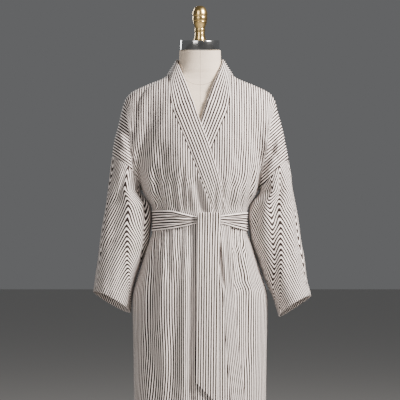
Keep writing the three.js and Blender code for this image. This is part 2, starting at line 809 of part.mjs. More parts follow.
const robe = new THREE.Group();
add(robe, "robe_back", backPanel(), cloth());
add(robe, "robe_front_right", frontPanel(-1), cloth());
add(robe, "robe_front_left", frontPanel(1), cloth());
add(robe, "sleeve_right", sleeve(-1), cloth());
add(robe, "sleeve_left", sleeve(1), cloth());
add(robe, "band_right", neckBand(-1), cloth());
add(robe, "band_left", neckBand(1), cloth());
add(robe, "belt_wrap", beltWrap(), cloth());
add(robe, "belt_knot", beltKnot(), cloth());
add(robe, "belt_tail_front", beltTail(TAIL_FRONT), cloth());
add(robe, "belt_tail_back", beltTail(TAIL_BACK), cloth());

const form = new THREE.Group();
add(form, "form_body", formBody(), linen);

const neck = new THREE.Group();
neck.position.set(0, NECK_TOP.y, NECK_TOP.z);
neck.rotation.x = NECK_LEAN;
add(neck, "form_cap", turned(capProfile, 28), steel).position.z = FLOOR_GAP;
add(neck, "form_finial", turned(finialProfile(), 18), brass).position.z = CAP.height + 2 * FLOOR_GAP;
form.add(neck);

const poleLength = FORM_BOTTOM - BASE.hubTop - 2 * FLOOR_GAP;
const pole = new THREE.CylinderGeometry(POLE_RADIUS, POLE_RADIUS, poleLength, 24).rotateX(Math.PI / 2);
add(form, "stand_pole", pole, steel).position.z = BASE.hubTop + FLOOR_GAP + poleLength / 2;
add(form, "stand_base", turned(baseProfile, 30), steel);

const model = new THREE.Group();
model.add(robe, form);
export default model;
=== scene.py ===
"""A striped kimono robe with a tied belt on a limbless dress form.

Tables and lengths are in millimetres, as on a pattern sheet; MM turns them into metres when
a mesh is made. The wearer's right is -X, the robe's front faces -Y, the floor is z = 0.
"""

import math

import bpy
import numpy as np
from mathutils import Matrix, Vector


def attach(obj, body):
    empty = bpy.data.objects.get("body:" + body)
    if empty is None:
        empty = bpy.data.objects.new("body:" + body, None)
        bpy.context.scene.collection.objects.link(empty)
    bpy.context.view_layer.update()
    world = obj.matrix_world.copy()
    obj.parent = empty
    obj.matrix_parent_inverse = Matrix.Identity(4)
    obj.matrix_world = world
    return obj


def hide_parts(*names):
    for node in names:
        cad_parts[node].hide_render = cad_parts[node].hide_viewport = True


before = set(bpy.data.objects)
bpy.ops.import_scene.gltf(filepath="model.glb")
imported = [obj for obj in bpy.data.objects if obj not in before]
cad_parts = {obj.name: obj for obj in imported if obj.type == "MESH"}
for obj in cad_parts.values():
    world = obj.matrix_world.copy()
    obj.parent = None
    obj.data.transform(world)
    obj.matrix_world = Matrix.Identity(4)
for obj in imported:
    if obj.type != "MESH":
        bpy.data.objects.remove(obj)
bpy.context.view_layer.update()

MM = 0.001

# ---------------- sizes of the garment
CLOTH = 0.9                # thickness of the cotton, of the doubled band and of the belt
BAND_THICKNESS = 1.8
BELT_THICKNESS = 1.6
HEM = 385
UNDERARM = 1142
BACK_NECK = 1440           # the neck seam: at the centre back, on the shoulder, half width
NECK_POINT = 1457
NECK_HALF = 82
LAYER = 3.8                # from the right front's face to the left front's under it
SEAM_GAP = 0.3             # between pieces that are sewn together
STRIPE = 6.5               # from one dark stripe to the next
ROW_STEP = 5.0             # distance of the cloth meshes' rows
OVAL = 2.25                # squareness of the trunk's section


def table(columns, rows):
    """Rows of numbers with named columns, as a list of dictionaries."""
    return [dict(zip(columns.split(), row)) for row in rows]


TRUNK = table("z side front back", [
    (385, 176, 137, 129), (520, 176, 135, 127), (700, 178, 132, 125), (850, 181, 129, 122),
    (940, 158, 122, 114), (1000, 139, 112, 103), (1032, 128, 103, 95), (1060, 126, 100, 92),
    (1088, 128, 102, 94), (1142, 156, 115, 103), (1200, 168, 121, 108), (1260, 173, 120, 106),
    (1320, 173, 112, 98), (1370, 167, 99, 87), (1404, 152, 86, 77), (1425, 132, 73, 70),
    (1447, 95, 57, 64), (1458, 82, 46, 60),
])
ARM = table("z out_right out_left wide_right wide_left deep soft", [
    (780, 289, 308, 49, 43, 76, 8), (860, 286, 297, 52, 51.5, 76, 8),
    (907, 281, 287, 55, 57.5, 76, 8), (960, 274, 280, 60.4, 63.3, 74, 8),
    (1015, 268, 270, 66, 67.2, 72, 8), (1058, 262, 265, 65.8, 67.2, 70, 8),
    (1101, 254, 259, 60.4, 62.8, 70, 8), (1128, 250.1, 253.7, 49.9, 51.6, 70, 8),
    (1142, 248, 251, 44.5, 46, 70, 8), (1188, 243, 245, 45, 46, 71, 12),
    (1231, 238, 238, 46, 46, 71, 26), (1274, 232, 230, 48, 48, 70, 44),
    (1317, 221, 221, 50, 50, 66, 56), (1360, 211, 209, 51, 51, 58, 60),
    (1385, 204, 203, 51, 51, 51, 60), (1404, 191, 191, 50, 50, 45, 60),
    (1425, 152, 152, 46, 46, 35, 50), (1447, 101, 101, 36, 36, 24, 30),
    (1458, 86, 86, 30, 30, 18, 20),
])
ARMHOLE = table("angle right left", [
    (0, 1239, 1228), (45, 1230, 1219), (75, 1216, 1203), (105, 1200, 1179), (140, 1172, 1158),
    (180, 1142, 1142),
])
CUFF = {                   # the cuff's height, and how much higher it is outside and in front
    "right": {"z": 843, "outer": 27, "front": 14},
    "left": {"z": 832, "outer": 27, "front": 12},
}
BAND_SEAM = table("z x", [
    (385, -86), (590, -78), (721, -68), (902, -57), (1029, -49), (1100, -29), (1180, 3),
    (1259, 34), (1310, 55), (1358, 73.5), (1405, 80), (1457, 82),
])
BAND_FREE = table("z x", [
    (385, -124), (590, -117), (721, -102), (902, -88), (1047, -80), (1086, -68), (1165, -52),
    (1250, -26), (1335, 5), (1388, 22), (1432, 38),
])
BAND_RISE = table("z rise", [(385, 0), (1029, 3), (1100, 14), (1259, 17), (1356, 32)])
BAND_NECK = table("seam x y z", [
    (1352, 21, -90, 1383), (1378, 33, -75, 1417), (1396, 42, -63, 1440), (1412, 50, -50, 1460),
    (1427, 56, -37, 1475), (1440, 60, -24, 1487), (1455, 62.5, -9, 1496),
])
BAND_BACK = table("seam x y z", [
    (1440, 0, 60, 1490), (1442, 23, 56, 1492), (1446, 41, 46, 1495), (1451, 54, 31, 1498),
    (1455, 61.5, 12, 1500),
])
BELT = table("x top bottom", [
    (-126, 1088, 1033), (-80, 1087, 1037), (-35, 1077, 1045), (-6, 1071, 1051), (48, 1073, 1051),
    (90, 1079, 1042), (126, 1084, 1033),
])
BELT_LIFT = 3.4            # from the garment's outer face to the belt's
KNOT = {"left": -3, "right": 47, "top": 1077, "bottom": 1049, "near": 4, "far": 12.5}
TAIL_FRONT = {
    "path": table("z out", [
        (1079, 8.5), (1081.5, 10.5), (1081.5, 13), (1079, 15), (1064, 15.4), (1046, 14.5),
        (1005, 10.6), (950, 7.4), (880, 7), (800, 7), (720, 7),
    ]),
    "left_top": -6.5, "left_end": -11.5, "wide": 57, "short": 642, "long": 584,
}
TAIL_BACK = {
    "path": table("z out", [(1048.4, 6.4), (1010, 4.4), (950, 3.8), (880, 3.8), (790, 3.8)]),
    "left_top": -3, "left_end": -7, "wide": 53, "short": 690, "long": 636,
}
FORM = table("z side front back", [
    (720, 156, 103, 99), (735, 161, 107, 103), (800, 164, 109, 106), (880, 160, 107, 104),
    (960, 143, 100, 94), (1020, 121, 90, 80), (1060, 112, 84, 73), (1110, 122, 90, 77),
    (1180, 144, 102, 88), (1250, 158, 107, 93), (1310, 166, 100, 88), (1360, 174, 87, 78),
    (1388, 181, 74, 68), (1404, 177, 63, 62), (1418, 155, 58, 58), (1432, 121.5, 54, 56),
    (1443, 92, 52, 54), (1454, 69, 52, 54), (1468, 61, 53.5, 53.5), (1490, 57, 53, 53),
    (1522, 55.5, 52, 52),
])
NECK_LEAN = math.radians(10)      # the neck and its cap lean forward
NECK_TOP = (0, -11, 1522)

# The largest folds of the body: troughs (depth > 0) and ridges (depth < 0), each along a
# line on the front or the back. The solids have the same ones.
FOLD_COLUMNS = "x1 z1 x2 z2 depth wide bow"
FOLDS = {
    "front": table(FOLD_COLUMNS, [
        (-192, 1304, -182, 1220, 9, 13, 0), (-182, 1226, -172, 1176, 6, 12, 0),
        (-106, 1275, -88, 1112, 6, 13, 0), (-66, 1290, -30, 1130, -4, 15, 0),
        (112, 1262, 92, 1112, 5, 14, 0), (-36, 1010, -42, 540, -7, 15, 0),
        (-84, 1012, -100, 600, -4, 20, 0), (-118, 1000, -138, 640, 5, 16, 0),
        (148, 990, 158, 560, 5, 16, 0),
    ]),
    "back": table(FOLD_COLUMNS, [
        (-60, 1270, -34, 1105, 6, 16, 0), (66, 1280, 36, 1105, 6, 16, 0),
        (0, 1012, 4, 520, 7, 20, 0), (-74, 1012, -96, 600, 6, 20, 0),
        (78, 1012, 102, 560, 6, 20, 0),
    ]),
}

# Creases of the thin cloth, in the same way; "bow" is how far a line bends sideways.
CREASES = {
    "front": table(FOLD_COLUMNS, [
        # under the arms and over the dropped shoulders
        (-186, 1268, -165, 1150, 4.0, 5, 3), (-146, 1214, -130, 1096, -3.0, 9, -3),
        (-120, 1226, -95, 1065, 3.6, 8, 3), (-111, 1190, -89, 1065, 2.6, 4, 2),
        (-234, 1306, -196, 1232, 2.6, 8, 5), (-217, 1352, -188, 1276, 2.2, 9, 6),
        (-160, 1330, -176, 1236, -2.2, 10, -4), (164, 1170, 198, 1264, 5.5, 7, -5),
        (182, 1200, 214, 1292, 3.6, 6, -5), (192, 1296, 206, 1210, 4.0, 8, 4),
        (150, 1250, 176, 1330, 2.6, 9, -6), (140, 1222, 117, 1070, 3.6, 7, -4),
        (156, 1200, 136, 1100, -2.6, 8, -2),
        # chest
        (-43, 1226, -42, 1066, 2.2, 6, 2), (-29, 1186, -26, 1072, 1.8, 4, 1),
        (-74, 1196, -62, 1064, 2.4, 6, 2), (-120, 1404, -136, 1312, 1.8, 11, 6),
        (-88, 1386, -120, 1268, -1.6, 13, -6), (124, 1402, 142, 1306, 2.0, 11, -6),
        (92, 1380, 112, 1270, -1.6, 12, 5), (84, 1204, 73, 1064, 2.6, 6, -3),
        (62, 1180, 54, 1062, 2.2, 4, -1), (41, 1166, 38, 1064, 1.8, 4, 1),
        (104, 1176, 96, 1094, -1.8, 6, -2), (-16, 1182, 14, 1056, 4.0, 9, 0),
        # gathers below the belt
        (-112, 1072, -126, 930, 2.8, 6, -3), (-96, 1070, -104, 962, 2.2, 4, -1),
        (-80, 1072, -78, 868, 2.4, 6, 3), (-62, 1074, -60, 938, 2.0, 5, -2),
        (-45, 1076, -50, 906, 2.4, 6, 2), (-21, 1076, -22, 430, 5.0, 8, 3),
        (-98, 1006, -120, 742, -2.4, 9, -5), (-152, 968, -164, 690, 3.2, 10, 5),
        (-64, 820, -74, 410, 2.4, 13, 6), (-114, 760, -122, 400, 2.6, 14, -5),
        (50, 1010, 66, 860, 5.6, 5, 2), (66, 1076, 78, 842, 2.8, 6, 4),
        (84, 1076, 104, 900, 2.4, 5, -2), (99, 1072, 122, 946, 2.6, 5, 3),
        (114, 1030, 140, 850, -2.6, 9, 5), (112, 930, 122, 620, 3.0, 11, -6),
        (132, 760, 134, 400, -2.4, 15, 6), (164, 900, 168, 640, 2.4, 9, -3),
        # gathers above the belt
        (-114, 1140, -108, 1058, 2.4, 4, 1), (-98, 1128, -94, 1058, 1.8, 3.5, 1),
        (-58, 1124, -56, 1054, 1.8, 4, 1), (112, 1150, 106, 1058, 2.4, 4.5, 1),
    ]),
    "back": table(FOLD_COLUMNS, [
        (-182, 1300, -164, 1162, 6.0, 9, 4), (184, 1296, 166, 1166, 5.4, 9, -5),
        (-214, 1330, -186, 1232, 2.6, 8, 5), (220, 1322, 188, 1240, 3.0, 8, -6),
        (-132, 1240, -104, 1068, 3.2, 9, 5), (-98, 1196, -82, 1062, 2.6, 6, -2),
        (-22, 1216, -12, 1064, 2.8, 7, 3), (18, 1176, 14, 1062, 2.2, 5, -2),
        (118, 1236, 96, 1066, 3.6, 9, -4), (84, 1188, 76, 1062, 2.4, 5, 2),
        (138, 1210, 120, 1100, -2.2, 8, 3), (-86, 1404, -60, 1300, -1.8, 14, 6),
        (94, 1398, 62, 1290, -1.8, 14, -5), (-112, 1068, -130, 900, 3.0, 7, -4),
        (-94, 1070, -100, 948, 2.2, 4, 2), (-46, 1070, -54, 812, 3.0, 8, -4),
        (-26, 1072, -28, 930, 2.2, 5, 1), (24, 1072, 32, 896, 2.6, 6, 3),
        (44, 1070, 56, 780, 3.0, 9, -4), (98, 1068, 122, 884, 3.0, 7, 4),
        (116, 1030, 142, 800, -2.6, 9, 5), (-132, 900, -150, 560, 3.0, 12, -6),
        (138, 820, 148, 480, 3.0, 13, 5), (-38, 740, -40, 400, 2.6, 14, 6),
        (52, 700, 58, 395, -2.4, 14, -6),
    ]),
}

# Creases of the sleeves. Their x is measured round the tube from the outer line, forward
# positive; 97 is the middle of the front.
SLEEVE_CREASES = {
    "right": table(FOLD_COLUMNS, [
        (124, 1216, 104, 1036, -4.6, 12, 3), (103, 1086, 156, 866, -4.2, 13, 5),
        (166, 1200, 146, 1050, 6.0, 8, -4), (147, 1090, 184, 930, 5.0, 9, 4),
        (80, 1196, 70, 960, 3.4, 15, 4), (40, 1216, 52, 880, -3.0, 16, 6),
        (128, 1010, 92, 856, 3.6, 13, -7), (96, 1150, 30, 1092, 3.0, 9, -6),
        (120, 1090, 58, 1016, 2.6, 9, -7), (84, 1012, 26, 956, 2.2, 8, 6),
        (14, 840, 24, 960, 2.2, 11, 4), (92, 846, 84, 936, 2.4, 9, -4),
        (-46, 840, -38, 1130, 4.0, 13, -7), (-88, 848, -104, 1150, -3.4, 14, 8),
        (-128, 860, -118, 1120, 4.4, 13, 6), (-104, 1090, -30, 1030, 2.8, 9, 6),
        (-60, 1180, -16, 1108, 2.6, 10, -5), (6, 1190, -4, 1080, 2.0, 12, 6),
    ]),
    "left": table(FOLD_COLUMNS, [
        (76, 1212, 102, 1000, 6.2, 11, -3), (100, 1050, 144, 868, 5.0, 12, 5),
        (50, 1200, 66, 900, -3.8, 14, 5), (108, 1196, 128, 1020, -4.2, 11, 4),
        (148, 1150, 152, 1010, 4.4, 11, 5), (26, 1120, 40, 850, 3.0, 15, -6),
        (60, 1176, 100, 1110, 2.8, 8, 6), (26, 1130, 96, 1040, 2.8, 9, -8),
        (34, 1010, 92, 950, 2.4, 8, 6), (22, 832, 16, 960, 2.4, 11, -4),
        (-50, 836, -42, 1120, 3.8, 13, 7), (-92, 850, -100, 1160, -3.2, 14, -7),
        (-132, 860, -124, 1130, 4.2, 13, -6), (-30, 1160, -96, 1084, 2.8, 9, -6),
        (-24, 1040, -80, 976, 2.4, 9, 6), (4, 1186, 10, 1070, 2.0, 12, -5),
    ]),
}
# Short ones that start at the armhole seam.
SLEEVE_TOP_CREASES = {
    "right": table(FOLD_COLUMNS, [
        (40, 1236, 48, 1130, 2.6, 7, 3), (92, 1222, 84, 1120, 3.0, 8, -4),
        (136, 1190, 122, 1110, 2.6, 7, 3), (-44, 1236, -50, 1140, 2.6, 8, -3),
        (-100, 1220, -90, 1120, 3.0, 8, 4),
    ]),
    "left": table(FOLD_COLUMNS, [
        (34, 1226, 46, 1134, 2.4, 7, -3), (86, 1212, 82, 1120, 3.4, 8, 3),
        (128, 1180, 120, 1106, 2.6, 7, -3), (-40, 1226, -46, 1140, 2.6, 8, 3),
        (-96, 1208, -88, 1110, 3.0, 8, -4),
    ]),
}

# Creases of the belt: x is measured round the waist from the centre front, z up its width.
BELT_CREASES = table(FOLD_COLUMNS, [
    (-118, 47, -7, 35, 1.4, 3, 3), (-112, 40, -7, 28, -2.0, 3.4, 2),
    (-150, 12, -9, 20, 1.4, 3, -2), (-140, 20, -9, 24, -1.6, 3.4, -1),
    (-74, 52, -6, 46, -1.4, 3, 1), (-60, 5, -6, 10, -1.4, 3, 0), (-185, 30, -90, 24, 1.2, 6, 4),
    (52, 42, 168, 45, 1.4, 3, 3), (52, 35, 174, 36, -2.0, 3.4, 2), (52, 18, 184, 10, 1.4, 3, -2),
    (52, 25, 178, 20, -1.8, 3.2, 0), (52, 51, 112, 50, -1.4, 3, 1), (52, 5, 98, 3, -1.2, 3, 0),
    (120, 28, 205, 30, 1.2, 6, -4), (250, 30, 380, 22, 1.4, 5, 4), (300, 44, 410, 40, 1.2, 5, -3),
    (420, 18, 540, 34, 1.4, 5, -3),
])
TAIL_FRONT_CREASES = table(FOLD_COLUMNS, [
    (16, 1092, 20, 960, 1.6, 4, 2), (38, 1092, 34, 985, 1.8, 4, -2),
    (28, 1000, 24, 760, -1.4, 7, 3), (46, 900, 48, 640, 1.0, 6, -3),
])
TAIL_BACK_CREASES = table(FOLD_COLUMNS, [
    (20, 1050, 24, 900, 1.0, 5, 2), (36, 900, 34, 720, 0.8, 6, -2),
])

BAND_STRIPES = 7.5         # stripes across the neck band, the belt, its ends and half its knot
BELT_STRIPES = 7.5
TAIL_STRIPES = 8.9
KNOT_STRIPES = 7
CUFF_HEM = 24              # height of the turned-up hems, and how much they stand out
SKIRT_HEM = 28
TAIL_HEM = 14
HEM_STEP = 0.7
STITCH = {"spacing": 3.4, "length": 2.3, "thick": 0.42, "beside": 3.2}


# ---------------- curves
MIDDLE = {"front": 0, "back": 2}     # the outline's turn at a face's centre line


def smooth(t):
    t = np.clip(t, 0, 1)
    return t * t * (3 - 2 * t)


def mix(a, b, t):
    return a + (b - a) * t


def curve(rows, at, column):
    """A smooth curve through a table's rows that never overshoots between them."""
    x = np.array([row[at] for row in rows], float)
    y = np.array([row[column] for row in rows], float)
    steep = np.diff(y) / np.diff(x)
    slope = np.concatenate([steep[:1], np.zeros(len(x) - 2), steep[-1:]])
    before, after = steep[:-1], steep[1:]
    same = before * after > 0
    slope[1:-1][same] = (2 * before * after)[same] / (before + after)[same]

    def value(where):
        where = np.clip(where, x[0], x[-1])
        i = np.clip(np.searchsorted(x, where, side="right") - 1, 0, len(x) - 2)
        width = x[i + 1] - x[i]
        t = (where - x[i]) / width
        bend = width * t * (1 - t) * (slope[i] * (1 - t) - slope[i + 1] * t)
        return mix(y[i], y[i + 1], smooth(t)) + bend

    return value


def curves(rows, at="z"):
    """Such a curve for each other column of a table."""
    return {column: curve(rows, at, column) for column in rows[0] if column != at}


trunk, arm, armhole = curves(TRUNK), curves(ARM), curves(ARMHOLE, "angle")
band_seam, band_free = curves(BAND_SEAM)["x"], curves(BAND_FREE)["x"]
band_rise = curves(BAND_RISE)["rise"]
band_neck, band_back = curves(BAND_NECK, "seam"), curves(BAND_BACK, "seam")
belt = curves(BELT, "x")


def side_name(side):
    return "right" if side < 0 else "left"


def soft_max(a, b, soft):
    near = np.maximum(soft - np.abs(a - b), 0) / soft
    return np.maximum(a, b) + near * near * 0.25 * np.minimum(soft, 2 * np.minimum(a, b))


def oval_depth(x, half, deep, square):
    t = np.clip(np.abs(x) / half, 0, 1)
    return deep * (1 - t ** square) ** (1 / square)


def run_length(points):
    """Length along lines of points, from the start of each."""
    steps = np.linalg.norm(np.diff(points, axis=-2), axis=-1)
    return np.concatenate([np.zeros((*steps.shape[:-1], 1)), np.cumsum(steps, axis=-1)], axis=-1)


CREASE_STRENGTH = 1.9      # of the body's creases; the folds keep their depth
CREASE_FADE = 0.3          # share of its length in which a crease begins, and ends
CREASE_SIDES = {"high": 0.25, "at": 1.9, "sharp": 1.4}     # its raised sides, in its widths
FACE_FOLDS = {
    face: FOLDS[face] + [{**row, "depth": row["depth"] * CREASE_STRENGTH} for row in CREASES[face]]
    for face in MIDDLE
}


def crease_depth(rows, x, z):
    """How far creases push the cloth in: a trough with slightly raised sides for each one."""
    x, z = np.broadcast_arrays(np.asarray(x, float), np.asarray(z, float))
    depth = np.zeros(x.shape)
    for row in rows:
        along_x, along_z = row["x2"] - row["x1"], row["z2"] - row["z1"]
        length = math.hypot(along_x, along_z)
        t = ((x - row["x1"]) * along_x + (z - row["z1"]) * along_z) / length ** 2
        near = (t > 0) & (t < 1)
        t = t[near]
        off = ((x[near] - row["x1"]) * along_z - (z[near] - row["z1"]) * along_x) / length
        off = np.abs(off - row["bow"] * 4 * t * (1 - t)) / row["wide"]
        ends = smooth(t / CREASE_FADE) * smooth((1 - t) / CREASE_FADE)
        raised = np.exp(-((off - CREASE_SIDES["at"]) * CREASE_SIDES["sharp"]) ** 2)
        depth[near] += row["depth"] * (np.exp(-off * off) - CREASE_SIDES["high"] * raised) * ends
    return depth


BELT_PRESS = {"share": 0.85, "beyond": 3, "fade": 8}     # how the belt flattens the folds


def under_belt(front, x, z):
    """1 where the belt presses the folds flat."""
    bottom = np.where(front, belt["bottom"](x), BELT[0]["bottom"]) - BELT_PRESS["beyond"]
    top = np.where(front, belt["top"](x), BELT[0]["top"]) + BELT_PRESS["beyond"]
    return smooth((z - bottom) / BELT_PRESS["fade"]) * smooth((top - z) / BELT_PRESS["fade"])


# ---------------- the worn outline
def outline(z, turn, joined, folds=1.0):
    """Points of the worn garment's outer face. The turn is 0 at the centre front, 1 on the
    left outer line, 2 at the centre back and -1 or 3 on the right outer line. Above the
    underarm the outline takes in both arms ("joined"); below it is the trunk alone."""
    z, turn = np.broadcast_arrays(np.asarray(z, float), np.asarray(turn, float))
    across, ahead = np.sin(turn * math.pi / 2), np.cos(turn * math.pi / 2)
    front, right = ahead >= 0, across < 0
    trunk_deep = np.where(front, trunk["front"](z), trunk["back"](z))
    if joined:
        half = np.where(right, arm["out_right"](z), arm["out_left"](z))
        wide = np.where(right, arm["wide_right"](z), arm["wide_left"](z))
        x = half * across
        over = np.abs(x) - (half - wide)
        body = oval_depth(x, np.minimum(trunk["side"](z), half), trunk_deep, OVAL)
        limb = oval_depth(over, wide, arm["deep"](z), 2)
        depth = soft_max(body, limb, arm["soft"](z))
    else:
        x = trunk["side"](z) * across
        depth = oval_depth(x, trunk["side"](z), trunk_deep, OVAL)
    if np.any(folds):
        folded = np.where(front, *(crease_depth(FACE_FOLDS[face], x, z) for face in MIDDLE))
        folded = folded * np.minimum(1, np.abs(ahead) * 3)     # none at the very side
        depth = depth - folds * folded * (1 - BELT_PRESS["share"] * under_belt(front, x, z))
    return np.stack([x, np.where(front, -depth, depth), z], axis=-1)


def unit(vectors):
    return vectors / np.maximum(np.linalg.norm(vectors, axis=-1, keepdims=True), 1e-9)


def lifted(z, turn, joined, out, folds=1.0):
    """Outline points moved out by `out` millimetres (in, when negative), square to the
    outline without its folds."""
    step = 0.004
    around = outline(z, turn + step, joined, 0) - outline(z, turn - step, joined, 0)
    up = outline(z + 1, turn, joined, 0) - outline(z - 1, turn, joined, 0)
    outward = unit(np.cross(around, up))
    return outline(z, turn, joined, folds) + outward * np.asarray(out, float)[..., None]


def turn_at(x, z, joined, face):
    """The turn at which the outline reaches x on the front or the back."""
    half = trunk["side"](z)
    if joined:
        half = np.where(np.asarray(x) < 0, arm["out_right"](z), arm["out_left"](z))
    turn = np.arcsin(np.clip(x / half, -1, 1)) * 2 / math.pi
    return turn if face == "front" else 2 - turn


def crease_x(z, side):
    """Where trunk and arm meet in a crease at a height near the underarm."""
    wide = arm["wide_" + side_name(side)](z)
    middle = arm["out_" + side_name(side)](z) - wide
    if middle - wide >= trunk["side"](z):
        return trunk["side"](z)
    x = np.linspace(middle - wide, middle, 400)
    body = oval_depth(x, trunk["side"](z), trunk["front"](z), OVAL)
    limb = oval_depth(x - middle, wide, arm["deep"](z), 2)
    return x[np.argmax(limb >= body)]


def armhole_place(side, angle, face):
    """Height and turn of the armhole seam at an angle round the arm."""
    name = side_name(side)
    z = float(armhole[name](angle))
    wide = arm["wide_" + name](z)
    x = arm["out_" + name](z) - wide + wide * math.cos(math.radians(angle))
    return z, float(turn_at(side * max(x, crease_x(z, side)), z, True, face))


# ---------------- cloth as thin shells
class Cloth:
    """Collects grids of outer points with their places on the cut, then closes one shell."""

    def __init__(self):
        self.points, self.cut, self.quads, self.count = [], [], [], 0

    def grid(self, points, cut, flip=False):
        rows, columns = points.shape[:2]
        index = np.arange(rows * columns).reshape(rows, columns) + self.count
        quads = np.stack([index[:-1, :-1], index[:-1, 1:], index[1:, 1:], index[1:, :-1]], -1)
        quads = quads.reshape(-1, 4)
        self.points.append(points.reshape(-1, 3))
        self.cut.append(cut.reshape(-1, 2))
        self.quads.append(quads[:, ::-1] if flip else quads)
        self.count += rows * columns
        return self

    def shell(self, name, node, slot, thickness=CLOTH):
        """The closed shell, its outer face on the points, with the UV map "cut" in metres."""
        points, cut, corners = map(np.concatenate, (self.points, self.cut, self.quads))
        _, first, known = np.unique(
            np.round(points * 100).astype(np.int64), axis=0,
            return_index=True, return_inverse=True)
        outer, quads = points[first], known.reshape(-1)[corners]
        normals = np.zeros_like(outer)
        across = outer[quads[:, 2]] - outer[quads[:, 0]]
        up = outer[quads[:, 3]] - outer[quads[:, 1]]
        for corner in range(4):
            np.add.at(normals, quads[:, corner], np.cross(across, up))
        inner = outer - unit(normals) * thickness
        count = len(outer)
        here, there = quads.reshape(-1), np.roll(quads, -1, axis=1).reshape(-1)
        free = ~np.isin(here * count + there, there * count + here)
        a, b = here[free], there[free]
        rim = np.stack([b, a, a + count, b + count], -1)
        a, b = corners.reshape(-1)[free], np.roll(corners, -1, axis=1).reshape(-1)[free]
        faces = np.concatenate([quads, quads[:, ::-1] + count, rim])
        places = cut[np.concatenate([corners, corners[:, ::-1], np.stack([b, a, a, b], -1)])]
        rounded_off = np.arange(len(faces)) < 2 * len(quads)
        obj = mesh_object(name, np.concatenate([outer, inner]), faces.tolist(), rounded_off)
        layer = obj.data.uv_layers.new(name="cut")
        layer.data.foreach_set("uv", (places * MM).astype(np.float32).ravel())
        return placed(obj, node, slot)


def linked(name, data):
    obj = bpy.data.objects.new(name, data)
    bpy.context.scene.collection.objects.link(obj)
    return obj


def mesh_object(name, points, faces, smooth_faces):
    mesh = bpy.data.meshes.new(name)
    mesh.from_pydata((points * MM).tolist(), [], faces)
    mesh.polygons.foreach_set("use_smooth", smooth_faces)
    mesh.update()
    return linked(name, mesh)


def placed(obj, node, slot):
    """Parents the object to the root, hides the CAD part that it stands for and gives it the
    material of its slot.
    """
    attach(obj, "root")
    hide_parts(node)
    obj.data.materials.append(MATERIALS[slot])
    return obj


def arc_turns(z, start, end, joined, count):
    """For every height the turns that divide the outline into equal lengths."""
    turns = start[:, None] + (end - start)[:, None] * np.linspace(0, 1, 161)
    length = run_length(outline(z[:, None], turns, joined, 0))
    wanted = np.linspace(0, 1, count + 1)
    return np.stack([np.interp(wanted * row[-1], row, turn) for row, turn in zip(length, turns)])


def arc_from_centre(z, turns, joined, face, folds=1.0):
    """Distance along the outline from the centre line to each turn, outwards positive."""
    fine = np.linspace(-1.05, 1.05, 421)
    length = run_length(outline(z[:, None], MIDDLE[face] + fine, joined, folds))
    return np.stack([
        np.interp(row - MIDDLE[face], fine, total - np.interp(0, fine, total))
        for row, total in zip(turns, length)])


SIDE_SLACK = 18            # by how much the stripes run behind at the sides


def outward_arc(side, face, z, turns, joined):
    """Distance from the centre line over the folds; towards the sides it runs a little behind."""
    arc = arc_from_centre(z, turns, joined, face)
    plain = np.abs(arc_from_centre(z, turns, joined, face, 0))
    longer = plain - np.abs(outline(z[:, None], turns, joined, 0)[..., 0])
    arc = arc if (side > 0) == (face == "front") else -arc
    return arc - SIDE_SLACK * (1 - np.exp(-longer / SIDE_SLACK))


# ---------------- how the stripes run
STRIPE_TURN = {            # the stripes of the dropped shoulder: lean from upright, where from
    "right": {"lean": math.radians(56), "top": 1408},
    "left": {"lean": math.radians(50), "top": 1404},
}
LEAN_FROM = {"x": 190, "ease": 34}         # the line where they begin to lean, and how softly
SHOULDER_BREAK = table("z right left", [    # the crease where the stripes change direction
    (1112, 260, 260), (1142, 157, 156), (1165, 168, 159), (1209, 179, 167), (1260, 184, 177),
    (1309, 187, 184), (1350, 188, 188), (1400, 188, 190), (1457, 190, 192),
])
shoulder_break = curves(SHOULDER_BREAK)
GATHER = {"below": 0.2, "above": 0.55}    # how much the stripes close up by the belt
FULL_ARC = {"front": 246, "back": 238}    # the outline's arc where they are apart in full


def half_girth(face):
    """Length of the outline from the centre line to the side, at any height."""
    z = np.linspace(HEM, NECK_POINT, 200)
    side = np.full((len(z), 1), MIDDLE[face] + 1.0)
    length = arc_from_centre(z, side, False, face, 0)[:, 0]
    return lambda height: np.interp(height, z, length)


HALF_GIRTH = {face: half_girth(face) for face in MIDDLE}


def body_cut(side, face, points, arc):
    """Places on the cut of a body panel: across the stripes and along them. The arc is each
    point's distance from the centre line along the outline, outwards positive."""
    name = side_name(side)
    lean, top = STRIPE_TURN[name]["lean"], STRIPE_TURN[name]["top"]
    x, height = side * points[..., 0], points[..., 2]
    gather = mix(GATHER["below"], GATHER["above"], smooth((height - 1035) / 50))
    drawn_in = mix(1, FULL_ARC[face] / HALF_GIRTH[face](height), gather)
    plain = mix(arc * drawn_in, x, smooth((height - 1160) / 190))
    beyond = (top - height) * math.cos(lean / 2) - (x - LEAN_FROM["x"]) * math.sin(lean / 2)
    beyond = np.maximum(beyond, 0)
    leaned = x + 2 * math.sin(lean / 2) * beyond * beyond / (beyond + LEAN_FROM["ease"])
    width = mix(3, 40, smooth((height - 1300) / 100))     # the crease widens up the shoulder
    outer = smooth((x - shoulder_break[name](height)) / width + 0.5)
    return np.stack([side * mix(plain, leaned, outer), height], axis=-1)


# ---------------- body panels
ZTOP = 1455
SHOULDER_STEP = 3.6        # distance of the rows along the shoulder line
FIRST_ARM_ANGLE = 120
ARM_COLUMNS = 22
TRUNK_COLUMNS = {"front": 58, "back": 50}
PANEL_WIDTH = 240          # about the length of a row
SEAM_DIP = 1.3             # how far the cloth rolls in beside a seam, and how near to it
SEAM_REACH = {"side": 12 / math.sqrt(8), "armhole": 4.2, "sleeve": 4.5}


def seam_roll(distance, seam):
    return SEAM_DIP * np.exp(-(distance / SEAM_REACH[seam]) ** 2)


